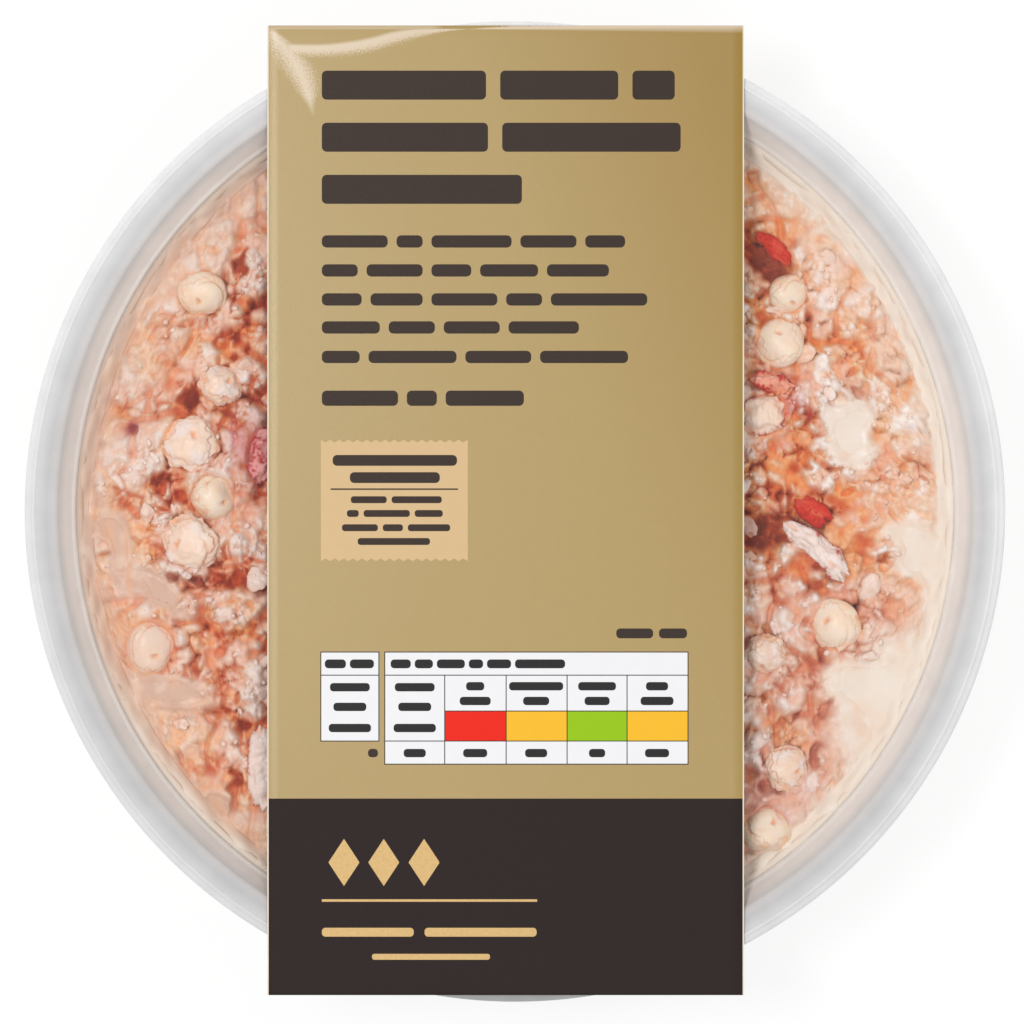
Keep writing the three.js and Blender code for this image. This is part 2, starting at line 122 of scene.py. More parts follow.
@dataclass(frozen=True)
class Palette:
    """The colours of the food; some also serve as painted light on crowns and painted shade in gaps."""

    cream: Colour = srgb(245, 218, 198)
    pearl: Colour = srgb(244, 225, 217)
    crown: Colour = srgb(253, 245, 242)
    peach: Colour = srgb(246, 184, 146)
    apricot: Colour = srgb(240, 176, 120)
    orange: Colour = srgb(240, 150, 92)
    rust: Colour = srgb(226, 116, 62)
    russet: Colour = srgb(176, 76, 44)
    brown: Colour = srgb(190, 68, 30)
    deep: Colour = srgb(146, 36, 16)
    coral: Colour = srgb(216, 110, 96)
    dull_coral: Colour = srgb(196, 110, 96)
    rose: Colour = srgb(222, 130, 140)
    dusky_rose: Colour = srgb(222, 150, 142)
    pale_rose: Colour = srgb(228, 184, 174)
    crimson: Colour = srgb(190, 34, 46)
    magenta: Colour = srgb(176, 26, 62)
    plum: Colour = srgb(128, 52, 64)
    skin: Colour = srgb(224, 62, 42)
    red_skin: Colour = srgb(214, 46, 32)
    crimson_skin: Colour = srgb(188, 28, 48)
    dark_skin: Colour = srgb(160, 20, 22)
    grain_tint: Colour = srgb(250, 226, 208)
    smear: Colour = srgb(240, 212, 190)
    smear_warm: Colour = srgb(238, 172, 124)
    sauce: Colour = srgb(241, 228, 216)
    sauce_shade: Colour = srgb(222, 182, 158)
    sauce_left: Colour = srgb(216, 177, 157)
    sauce_warm: Colour = srgb(238, 178, 132)
    sauce_lit: Colour = srgb(253, 240, 226)
    prawn_round: Colour = srgb(249, 228, 204)
    prawn_mottle: Colour = srgb(243, 200, 182)
    prawn_warm: Colour = srgb(246, 182, 132)


FOOD = Palette()


def ramp(value: np.ndarray, stops: tuple[tuple[float, Colour], ...]) -> np.ndarray:
    """Reads colours off a ramp.

    Args:
        value: Where on the ramp each point lies.
        stops: Values in rising order, each with its colour.

    Returns:
        One colour a point.
    """
    places = [stop[0] for stop in stops]
    parts = [np.interp(value, places, [stop[1][part] for stop in stops]) for part in range(3)]
    return np.stack(parts, axis=-1)


# ---- noise and shapes in numbers ---------------------------------------------------------------


def paired(x: np.ndarray, y: np.ndarray) -> np.ndarray:
    """Puts X and Y together, along a new last axis."""
    return np.stack((x, y), axis=-1)


def apart(places: np.ndarray) -> tuple[np.ndarray, np.ndarray]:
    """Takes X and Y apart."""
    return places[..., 0], places[..., 1]


def reach_of(places: np.ndarray) -> np.ndarray:
    """Gives how far places lie from the pack's axis."""
    return np.hypot(places[..., 0], places[..., 1])


def smoothstep(low: float, high: float, value: np.ndarray) -> np.ndarray:
    """Rises smoothly from 0 at low to 1 at high, or falls where high is the smaller."""
    share = np.clip((value - low) / (high - low), 0, 1)
    return share * share * (3 - 2 * share)


def lattice_value(cells: np.ndarray, seed: int) -> np.ndarray:
    """Gives every whole-numbered cell a repeatable value from 0 to 1.

    Args:
        cells: Whole numbers, with the cell's coordinates along the last axis.
        seed: Chooses one pattern of values.

    Returns:
        One value a cell.
    """
    mixed = np.full(cells.shape[:-1], (seed * 2654435761 + 97) % 2**32, np.uint32)
    for axis, prime in zip(range(cells.shape[-1]), (374761393, 668265263, 3266489917)):
        mixed ^= cells[..., axis].astype(np.uint32) * np.uint32(prime)
        mixed = (mixed ^ (mixed >> 15)) * np.uint32(2246822519)
    mixed ^= mixed >> 13
    return mixed / 2**32


def smooth_noise(points: np.ndarray, cell: float | tuple[float, ...], seed: int) -> np.ndarray:
    """Gives smooth noise from -1 to 1.

    Args:
        points: Coordinates, two or three along the last axis.
        cell: The noise's grain, or one grain for each axis.
        seed: Chooses one pattern.

    Returns:
        One value a point.
    """
    scaled = points / np.asarray(cell)
    low = np.floor(scaled).astype(np.int64)
    part = scaled - low
    part = part * part * (3 - 2 * part)
    total = np.zeros(points.shape[:-1])
    for corner in itertools.product((0, 1), repeat=points.shape[-1]):
        weight = np.prod(np.where(corner, part, 1 - part), axis=-1)
        total += weight * lattice_value(low + np.array(corner), seed)
    return 2 * total - 1


@dataclass(frozen=True)
class Ripple:
    """Smooth noise of a size of its own.

    Attributes:
        size: It runs from -size to size.
        cell: Its grain, or one grain for each axis.
        seed: Chooses one pattern.
    """

    size: float
    cell: float | tuple[float, ...]
    seed: int

    def at(self, places: np.ndarray) -> np.ndarray:
        """Gives the noise at some places."""
        return self.size * smooth_noise(places, self.cell, self.seed)


@dataclass(frozen=True)
class Mottle:
    """Soft patches.

    Attributes:
        low: Value of smooth noise where a patch begins.
        high: Its value where the patch is full.
        cell: The noise's grain, or one grain for each axis.
        seed: Chooses one pattern.
    """

    low: float
    high: float
    cell: float | tuple[float, ...]
    seed: int

    def at(self, places: np.ndarray) -> np.ndarray:
        """Gives 0 off the patches and 1 where they are full."""
        return smoothstep(self.low, self.high, smooth_noise(places, self.cell, self.seed))


@dataclass
class Cobbles:
    """A field of rounded lumps.

    Attributes:
        height: About 0 in the gaps and 1 on the tallest crowns.
        margin: 0 where two lumps meet, rising away from there.
        tone: One value from 0 to 1 for each whole lump.
    """

    height: np.ndarray
    margin: np.ndarray
    tone: np.ndarray


def cobbles(places: np.ndarray, cell: float, stretch: float, seed: int) -> Cobbles:
    """Fills the plane with lumps that crowd each other.

    Args:
        places: X and Y of each place.
        cell: Mean distance between lumps.
        stretch: How much longer than wide the longest lumps are, as a share.
        seed: Chooses one pattern.

    Returns:
        The field at those places.
    """
    points = places / cell
    home = np.floor(points).astype(np.int64)
    best = np.full(places.shape[:-1], -9.0)
    second = best.copy()
    tone = np.zeros(best.shape)
    for step in itertools.product((-1, 0, 1), repeat=2):
        cells = home + np.array(step)
        draws = [lattice_value(cells, seed * 16 + draw) for draw in range(7)]
        away_x = points[..., 0] - cells[..., 0] - 0.5 - 0.8 * (draws[0] - 0.5)
        away_y = points[..., 1] - cells[..., 1] - 0.5 - 0.8 * (draws[1] - 0.5)
        turn = math.pi * draws[2]
        longer = 1 + stretch * draws[3]
        size = 0.75 + 0.55 * draws[4]
        along = (away_x * np.cos(turn) + away_y * np.sin(turn)) / longer
        across = (away_y * np.cos(turn) - away_x * np.sin(turn)) * longer
        fall = 1.25 * ((along**2 + across**2) / size)
        height = 0.75 * size + 0.5 * (draws[5] - 0.5) - fall
        second = np.maximum(second, np.minimum(best, height))
        tone = np.where(height > best, draws[6], tone)
        best = np.maximum(best, height)
    return Cobbles(best, best - second, tone)


def icosphere(level: int) -> tuple[np.ndarray, np.ndarray]:
    """Makes a ball of radius 1.

    Args:
        level: How often it's split.

    Returns:
        The ball's points and triangles.
    """
    ball = bmesh.new()
    bmesh.ops.create_icosphere(ball, subdivisions=level, radius=1)
    points = np.array([vertex.co[:] for vertex in ball.verts])
    triangles = np.array([[vertex.index for vertex in face.verts] for face in ball.faces])
    ball.free()
    return points, triangles


def full_turn(segments: int) -> np.ndarray:
    """Gives even angles round a full turn."""
    return np.linspace(0, 2 * math.pi, segments, endpoint=False)


def grid_quads(rows: int, columns: int, wrap_rows: bool = False, wrap_columns: bool = False) -> np.ndarray:
    """Joins a grid of points into quads.

    Args:
        rows: Points along the first way.
        columns: Points along the second way, whose numbers run fastest.
        wrap_rows: The last row joins the first.
        wrap_columns: The last column joins the first.

    Returns:
        Four point numbers a quad.
    """
    row = np.arange(rows if wrap_rows else rows - 1)[:, None]
    column = np.arange(columns if wrap_columns else columns - 1)[None, :]
    next_row = (row + 1) % rows
    next_column = (column + 1) % columns
    corners = (
        row * columns + column,
        next_row * columns + column,
        next_row * columns + next_column,
        row * columns + next_column,
    )
    return np.stack(corners, axis=-1).reshape(-1, 4)


def grid_rim(rows: int, columns: int) -> np.ndarray:
    """Gives the numbers of the points round the edge of a grid, in order."""
    number = np.arange(rows * columns).reshape(rows, columns)
    return np.concatenate((number[:, 0], number[-1, 1:], number[-2::-1, -1], number[0, -2:0:-1]))


def make_object(
    name: str,
    points: np.ndarray,
    faces: np.ndarray | list[list[int]],
    materials: list[bpy.types.Material],
    colours: np.ndarray | None = None,
    finishes: list[int] | None = None,
    sharp_angle: float = 180,
) -> bpy.types.Object:
    """Makes an object and links it to the scene.

    Args:
        name: Its name.
        points: Its points, in millimetres.
        faces: Point numbers of each face.
        materials: Its materials.
        colours: One colour a point, if the materials read them.
        finishes: Which of the materials each face gets; the first if they are left out.
        sharp_angle: Edges that fold by more degrees than this stay sharp.

    Returns:
        The object.
    """
    mesh = bpy.data.meshes.new(name)
    mesh.from_pydata((points * MM).tolist(), [], faces if isinstance(faces, list) else faces.tolist())
    for material in materials:
        mesh.materials.append(material)
    if finishes:
        mesh.polygons.foreach_set("material_index", finishes)
    if colours is not None:
        shades = np.concatenate((colours, np.ones((len(colours), 1))), axis=1)
        tones = mesh.attributes.new(TONE, "FLOAT_COLOR", "POINT")
        tones.data.foreach_set("color", shades.ravel())
    mesh.shade_smooth()
    if sharp_angle < 180:
        mesh.set_sharp_from_angle(angle=math.radians(sharp_angle))
    mesh.update()
    made = bpy.data.objects.new(name, mesh)
    bpy.context.scene.collection.objects.link(made)
    return made


def bent_corner(
    before: np.ndarray, corner: np.ndarray, after: np.ndarray, reach: float, steps: int
) -> np.ndarray:
    """Rounds one corner of an outline.

    Args:
        before: The corner before it.
        corner: The corner.
        after: The corner after it.
        reach: How far from the corner the rounding starts and ends.
        steps: Points on the rounding.

    Returns:
        The points of the rounding.
    """
    start = corner + (before - corner) / np.linalg.norm(before - corner) * reach
    end = corner + (after - corner) / np.linalg.norm(after - corner) * reach
    share = np.linspace(0, 1, steps)[:, None]
    return start * (1 - share) ** 2 + corner * 2 * share * (1 - share) + end * share**2


def rounded_outline(corners: list[Span], radius: float, steps: int = 4) -> np.ndarray:
    """Rounds the inner corners of an open outline.

    Args:
        corners: The outline's corners, in order.
        radius: How far along each side the rounding starts.
        steps: Points on each rounded corner.

    Returns:
        The points of the rounded outline.
    """
    corners = [np.array(corner, float) for corner in corners]
    points = [corners[:1]]
    for before, corner, after in zip(corners, corners[1:], corners[2:]):
        shorter = min(np.linalg.norm(before - corner), np.linalg.norm(after - corner))
        points.append(bent_corner(before, corner, after, min(radius, 0.45 * shorter), steps))
    return np.concatenate((*points, corners[-1:]))


def spun_body(outline: np.ndarray, segments: int) -> tuple[np.ndarray, list[list[int]]]:
    """Spins an outline that starts and ends on the axis into a closed body.

    Args:
        outline: Radius and height of each point, from the bottom of the axis outwards and back.
        segments: Steps round the axis.

    Returns:
        The body's points and faces.
    """
    turns = full_turn(segments)
    radius, height = outline[1:-1].T
    rings = (
        np.outer(np.cos(turns), radius),
        np.outer(np.sin(turns), radius),
        np.tile(height, (segments, 1)),
    )
    round_points = np.stack(rings, axis=-1).reshape(-1, 3)
    tips = np.array([[0, 0, outline[0, 1]], [0, 0, outline[-1, 1]]])
    steps = len(radius)
    faces = grid_quads(segments, steps, wrap_rows=True).tolist()
    bottom, top = len(round_points), len(round_points) + 1
    for step in range(segments):
        here, after = step * steps, ((step + 1) % segments) * steps
        faces.append([bottom, after, here])
        faces.append([top, here + steps - 1, after + steps - 1])
    return np.concatenate((round_points, tips)), faces


# ---- materials ---------------------------------------------------------------------------------


class NodeKit:
    """Short ways to lay out the nodes of one tree."""

    def __init__(self, tree: bpy.types.NodeTree) -> None:
        """Starts on a node tree."""
        self.tree = tree

    def add(self, kind: str, inputs: Inputs | None = None, **settings: object) -> bpy.types.Node:
        """Adds a node.

        Args:
            kind: The node's type.
            inputs: What goes into its inputs, by their names or numbers.
            settings: The node's own settings.

        Returns:
            The node.
        """
        node = self.tree.nodes.new(kind)
        for name, value in settings.items():
            setattr(node, name, value)
        for name, value in (inputs or {}).items():
            socket = node.inputs[name]
            if isinstance(value, Socket):
                self.tree.links.new(value, socket)
            elif socket.type == "RGBA":
                socket.default_value = (*value, 1)
            else:
                socket.default_value = value
        return node

    def place(self) -> Socket:
        """Gives the place of each point on its piece, in metres."""
        return self.add("ShaderNodeTexCoord").outputs["Object"]

    def apart(self) -> bpy.types.Node:
        """Adds a node whose outputs are the X, Y and Z of each point on its piece."""
        return self.add("ShaderNodeSeparateXYZ", {0: self.place()})

    def facing(self) -> Socket:
        """Gives 0 where a surface is seen face on and 1 where it's seen edge on."""
        return self.add("ShaderNodeLayerWeight", {"Blend": 0.5}).outputs["Facing"]

    def math(self, operation: str, *values: Source) -> Socket:
        """Adds a sum on up to three sockets or numbers, and gives its result."""
        return self.add("ShaderNodeMath", dict(enumerate(values)), operation=operation).outputs[0]

    def vector(self, operation: str, *values: Source) -> bpy.types.Node:
        """Adds a sum on up to two vectors."""
        return self.add("ShaderNodeVectorMath", dict(enumerate(values)), operation=operation)

    def curve(self, source: Socket, stops: Stops) -> Socket:
        """Reads a smooth curve.

        Args:
            source: Where on the curve to read it, from 0 to 1.
            stops: The places that the curve goes through, and its values there.

        Returns:
            The curve's value.
        """
        node = self.add("ShaderNodeFloatCurve", {"Value": source})
        points = node.mapping.curves[0].points
        points[0].location, points[-1].location = stops[0], stops[-1]
        for stop in stops[1:-1]:
            points.new(*stop)
        node.mapping.update()
        return node.outputs["Value"]

    def noise(self, scale: Source, detail: float) -> Socket:
        """Gives the value of a noise texture that is fixed to the piece."""
        inputs = {"Vector": self.place(), "Scale": scale, "Detail": detail}
        return self.add("ShaderNodeTexNoise", inputs).outputs["Fac"]

    def spread(self, source: Socket, limits: Span, results: Span = (0.0, 1.0)) -> Socket:
        """Maps one range of values to another.

        Args:
            source: The value.
            limits: Both ends of its range.
            results: What they become; what lies outside them is held there.

        Returns:
            The mapped value.
        """
        names = ("Value", "From Min", "From Max", "To Min", "To Max")
        inputs = dict(zip(names, (source, *limits, *results)))
        return self.add("ShaderNodeMapRange", inputs, clamp=True).outputs["Result"]

    def mix(self, share: Source, one: Source, other: Source, way: str = "MIX") -> Socket:
        """Mixes two colours."""
        inputs = {0: share, 6: one, 7: other}
        return self.add("ShaderNodeMix", inputs, data_type="RGBA", blend_type=way).outputs[2]

    def bump(self, height: Socket, distance: float, strength: float) -> Socket:
        """Turns a height into a normal."""
        inputs = {"Height": height, "Distance": distance, "Strength": strength}
        return self.add("ShaderNodeBump", inputs).outputs["Normal"]

    def shader(self, kind: str, inputs: Inputs) -> Socket:
        """Adds a shader, such as BsdfDiffuse or MixShader, and gives its output."""
        return self.add(f"ShaderNode{kind}", inputs).outputs[0]

    def glazed(self, under: Socket, facing: Socket, roughness: float) -> Socket:
        """Lays a clear gloss over a shader, strongest where the surface is seen edge on.

        Args:
            under: The shader below the gloss.
            facing: 0 where the surface is seen face on, 1 where it's seen edge on.
            roughness: The gloss's roughness.

        Returns:
            The glazed shader.
        """
        steep = self.spread(self.math("POWER", facing, GLAZE_POWER), (0.0, 1.0), (0.0, GLAZE_MOST))
        inputs = {0: steep, 1: self.add("ShaderNodeNewGeometry").outputs["Backfacing"]}
        outside = self.add("ShaderNodeMath", inputs, operation="SUBTRACT", use_clamp=True).outputs[0]
        gloss = self.shader("BsdfGlossy", {"Roughness": roughness})
        return self.shader("MixShader", {0: outside, 1: under, 2: gloss})


def new_material(name: str) -> tuple[bpy.types.Material, NodeKit]:
    """Makes a material without nodes.

    Args:
        name: The material's name.

    Returns:
        The material and its node kit.
    """
    material = bpy.data.materials.new(name)
    material.use_nodes = True
    material.node_tree.nodes.clear()
    return material, NodeKit(material.node_tree)


@dataclass(frozen=True)
class RimLook:
    """The colour of the clear plastic along its rim, with painted highlights and painted shade.

    Attributes:
        bands: Its colour from the food out to the edge, by radius in millimetres; the warm band by the food
            paints the food seen through the wall, and the white band at 98 mm paints the ridge's highlight.
        towards: Which way the light lies.
        lit: Where the shaded side ends and where the lit side begins, counted towards the light.
        shade: How bright the shaded side is, next to 1 on the lit side.
        clouds: Cloudy patches to the metre.
        cloudy: How bright the darkest and the palest of them are.
        sleeve_edge: Y in metres between which the sleeve's shade on the rim below it ends.
        sleeve_shade: How bright the rim is in that shade.
    """

    bands: tuple[tuple[float, Colour], ...] = (
        (92.0, srgb(253, 243, 236)),
        (93.2, srgb(230, 225, 222)),
        (95.4, srgb(220, 219, 220)),
        (96.4, srgb(228, 227, 228)),
        (97.6, srgb(236, 235, 236)),
        (98.0, srgb(254, 254, 254)),
        (98.5, srgb(245, 245, 246)),
        (99.4, srgb(252, 252, 253)),
    )
    towards: Triple = (0.4, 1.2, 0.0)
    lit: Span = (-0.13, 0.07)
    shade: float = 0.86
    clouds: float = 170.0
    cloudy: Span = (0.95, 1.0)
    sleeve_edge: Span = (-0.0985, -0.0965)
    sleeve_shade: float = 0.55

    def colour(self, kit: NodeKit, radius: Socket) -> Socket:
        """Gives the colour, with its painted light and shade.

        Args:
            kit: The group's node kit.
            radius: Distance from the axis, in metres.

        Returns:
            The colour.
        """
        low, high = self.bands[0][0], self.bands[-1][0]
        # The bands paint in the food seen through the wall next to it, and a highlight on the ridge.
        along = kit.spread(radius, (low * MM, high * MM))
        bands = kit.add("ShaderNodeValToRGB", {0: along})
        stops = bands.color_ramp.elements
        while len(stops) < len(self.bands):
            stops.new(0.5)
        for stop, (reach, colour) in zip(stops, self.bands):
            stop.position = (reach - low) / (high - low)
            stop.color = (*colour, 1)
        # Painted shade on the side away from the light and a painted shadow under the sleeve's edge.
        towards = kit.vector("DOT_PRODUCT", kit.place(), self.towards).outputs["Value"]
        lit = kit.spread(towards, self.lit, (self.shade, 1.0))
        cloudy = kit.spread(kit.noise(self.clouds, 2), (0.35, 0.65), self.cloudy)
        shaded = kit.spread(kit.apart().outputs["Y"], self.sleeve_edge, (self.sleeve_shade, 1.0))
        lit = kit.math("MULTIPLY", kit.math("MULTIPLY", lit, cloudy), shaded)
        return kit.mix(1.0, bands.outputs[0], lit, "MULTIPLY")


class SharedGroups:
    """Node groups that several finishes use, each made once."""

    def __init__(self) -> None:
        """Makes the groups."""
        self.moist_grain = self._moist_grain()
        self.rim_bands = self._rim_bands()

    @staticmethod
    def _start(
        name: str, numbers: dict[str, float], results: dict[str, str]
    ) -> tuple[NodeKit, bpy.types.Node]:
        """Makes an empty group.

        Args:
            name: The group's name.
            numbers: Its number inputs, with their usual values.
            results: Its outputs, with their kinds of socket.

        Returns:
            The group's node kit, and the node that holds its inputs.
        """
        tree = bpy.data.node_groups.new(name, "ShaderNodeTree")
        for label, value in numbers.items():
            socket = tree.interface.new_socket(name=label, in_out="INPUT", socket_type=NUMBER)
            socket.default_value = value
        for label, kind in results.items():
            tree.interface.new_socket(name=label, in_out="OUTPUT", socket_type=kind)
        kit = NodeKit(tree)
        return kit, kit.add("NodeGroupInput")

    def _moist_grain(self) -> bpy.types.NodeTree:
        """Makes the fine uneven grain of moist food or paper.

        Returns:
            A group that gives a mask, a height and a wetness.
        """
        results = dict.fromkeys(("Mask", "Height", "Wet"), NUMBER)
        kit, given = self._start("moist_grain", {"Scale": 900.0, "Spread": 3.0}, results)
        fine = given.outputs["Scale"]
        coarse = kit.math("DIVIDE", fine, given.outputs["Spread"])
        height, mask, wet = kit.noise(fine, 3.0), kit.noise(coarse, 2.0), kit.noise(coarse, 1.0)
        kit.add("NodeGroupOutput", {"Mask": mask, "Height": height, "Wet": wet})
        return kit.tree

    def _rim_bands(self) -> bpy.types.NodeTree:
        """Makes the rings of colour along the plastic's rim, with their painted light and shade.

        Returns:
            A group that gives the colour, and the distance from the axis in metres.
        """
        kit, _ = self._start("rim_bands", {}, {"Colour": "NodeSocketColor", "Radius": NUMBER})
        flat = kit.vector("MULTIPLY", kit.place(), (1, 1, 0)).outputs[0]
        radius = kit.vector("LENGTH", flat).outputs["Value"]
        kit.add("NodeGroupOutput", {"Colour": RimLook().colour(kit, radius), "Radius": radius})
        return kit.tree

    def grain(self, kit: NodeKit, scale: float, spread: float) -> bpy.types.Node:
        """Places the grain group in a material.

        Args:
            kit: The material's node kit.
            scale: Grains to the metre.
            spread: How many times coarser the mask is than the height.

        Returns:
            The group's node.
        """
        inputs = {"Scale": scale, "Spread": spread}
        return kit.add("ShaderNodeGroup", inputs, node_tree=self.moist_grain)

    def rim(self, kit: NodeKit) -> bpy.types.Node:
        """Places the rim's group in a material."""
        return kit.add("ShaderNodeGroup", node_tree=self.rim_bands)


@dataclass(frozen=True)
class Finish:
    """A material, which each kind of finish lays out in its own way."""

    name: str

    def material(self, groups: SharedGroups) -> bpy.types.Material:
        """Makes the material.

        Args:
            groups: The shared groups.

        Returns:
            The material.
        """
        material, kit = new_material(self.name)
        kit.add("ShaderNodeOutputMaterial", {"Surface": self.surface(kit, groups)})
        return material

    def surface(self, kit: NodeKit, groups: SharedGroups) -> Socket:
        """Lays out the shader."""
        raise NotImplementedError


@dataclass(frozen=True)
class MoistFood(Finish):
    """Moist flesh or sauce, whose colours the mesh carries.

    Attributes:
        grain: Grains to the metre of its finest relief.
        relief: Height of that relief in metres.
        roughness: Lowest and highest roughness.
        gloss: Strength of the shine on its palest parts; its dark gaps have none.
        wetness: Weight of the clear wet coat there.
        mottle: How strongly the grain changes the colour.
        coat_roughness: Roughness of the wet coat.
        pale_from: How bright its dark gaps are, and how bright its palest parts.
    """

    grain: float = 1400.0
    relief: float = 0.00012
    roughness: Span = (0.3, 0.55)
    gloss: float = 0.2
    wetness: float = 0.2
    mottle: float = 0.5
    coat_roughness: float = 0.25
    pale_from: Span = (0.1, 0.65)

    def surface(self, kit: NodeKit, groups: SharedGroups) -> Socket:
        """Lays out the shader: colours from the mesh, and a shine that leaves its dark gaps out.

        Args:
            kit: The material's node kit.
            groups: The shared groups.

        Returns:
            The shader.
        """
        grain = groups.grain(kit, self.grain, 3.0).outputs
        tone = kit.add("ShaderNodeAttribute", attribute_name=TONE).outputs["Color"]
        shade = kit.spread(grain["Mask"], (0.3, 0.7), (0.0, self.mottle))
        warm = kit.mix(1.0, tone, FOOD.grain_tint, "MULTIPLY")
        inputs = {
            "Base Color": kit.mix(shade, tone, warm),
            "Roughness": kit.spread(grain["Wet"], (0.35, 0.65), self.roughness),
            "Normal": kit.bump(grain["Height"], self.relief, 0.7),
            "Specular IOR Level": kit.spread(tone, self.pale_from, (0.0, self.gloss)),
            "Coat Weight": kit.spread(tone, self.pale_from, (0.0, self.wetness)),
            "Coat Roughness": self.coat_roughness,
        }
        return kit.shader("BsdfPrincipled", inputs)


@dataclass(frozen=True)
class ClearPanel(Finish):
    """The clear flat part of the lid, which tints the light and has a gloss of some roughness."""

    tint: Colour = (0.985, 0.99, 0.99)
    roughness: float = 0.1

    def surface(self, kit: NodeKit, groups: SharedGroups) -> Socket:
        """Lays out the shader."""
        clear = kit.shader("BsdfTransparent", {"Color": self.tint})
        return kit.glazed(clear, kit.facing(), self.roughness)


@dataclass(frozen=True)
class FrostedPlastic(Finish):
    """Thin food-tub plastic that scatters some of the light, most along the rim.

    Attributes:
        haze: Share of light that it scatters inside the rim.
        frost: The same along the rim.
        slant_haze: What is added where the wall is seen edge on.
        frost_from: Radii in metres between which the frost sets in.
        milk: Share of the scattered light that goes through.
        tint: What the clear share does to the light.
        roughness: The gloss's roughness.
    """

    haze: float = 0.05
    frost: float = 0.9
    slant_haze: float = 0.2
    frost_from: Span = (0.0894, 0.0908)
    milk: float = 0.1
    tint: Colour = (0.99, 0.995, 0.995)
    roughness: float = 0.12

    def surface(self, kit: NodeKit, groups: SharedGroups) -> Socket:
        """Lays out the shader: clear inside the rim and milky along it, in the rim's colour with its painted
        light and shade.

        Args:
            kit: The material's node kit.
            groups: The shared groups.

        Returns:
            The shader.
        """
        colour, radius = groups.rim(kit).outputs
        facing = kit.facing()
        frost = kit.spread(radius, self.frost_from, (self.haze, self.frost))
        slant = kit.spread(facing, (0.1, 1.0), (0.0, self.slant_haze))
        amount = kit.math("MINIMUM", kit.math("ADD", frost, slant), 1.0)
        body = kit.shader("BsdfDiffuse", {"Color": colour})
        through = kit.shader("BsdfTranslucent", {"Color": colour})
        milky = kit.shader("MixShader", {0: self.milk, 1: body, 2: through})
        clear = kit.shader("BsdfTransparent", {"Color": self.tint})
        hazy = kit.shader("MixShader", {0: amount, 1: clear, 2: milky})
        return kit.glazed(hazy, facing, self.roughness)


@dataclass(frozen=True)
class PrintedCard(Finish):
    """Printed board: satin ink over faint paper grain.

    Attributes:
        colour: The ink's colour.
        metal: How metallic the ink is.
        roughness: Lowest and highest roughness.
        grain: Grains to the metre.
        relief: Height of the grain in metres.
        mottle: How far the grain darkens the ink.
        gloss: Strength of its reflection.
    """

    colour: Colour
    metal: float = 0.0
    roughness: Span = (0.4, 0.55)
    grain: float = 2600.0
    relief: float = 0.00003
    mottle: float = 0.08
    gloss: float = 0.5

    def surface(self, kit: NodeKit, groups: SharedGroups) -> Socket:
        """Lays out the shader.

        Args:
            kit: The material's node kit.
            groups: The shared groups.

        Returns:
            The shader.
        """
        grain = groups.grain(kit, self.grain, 6.0)
        height = grain.outputs["Height"]
        inputs = {
            "Base Color": self.base_colour(kit, grain),
            "Roughness": kit.spread(height, (0.3, 0.7), self.roughness),
            "Normal": kit.bump(height, self.relief, 0.6),
            "Metallic": self.metal,
            "Specular IOR Level": self.gloss,
        }
        return kit.shader("BsdfPrincipled", inputs)

    def base_colour(self, kit: NodeKit, grain: bpy.types.Node) -> Socket:
        """Gives the ink's colour, a little uneven."""
        darker = tuple(part * (1 - 2 * self.mottle) for part in self.colour)
        return kit.mix(kit.spread(grain.outputs["Mask"], (0.3, 0.7)), self.colour, darker)


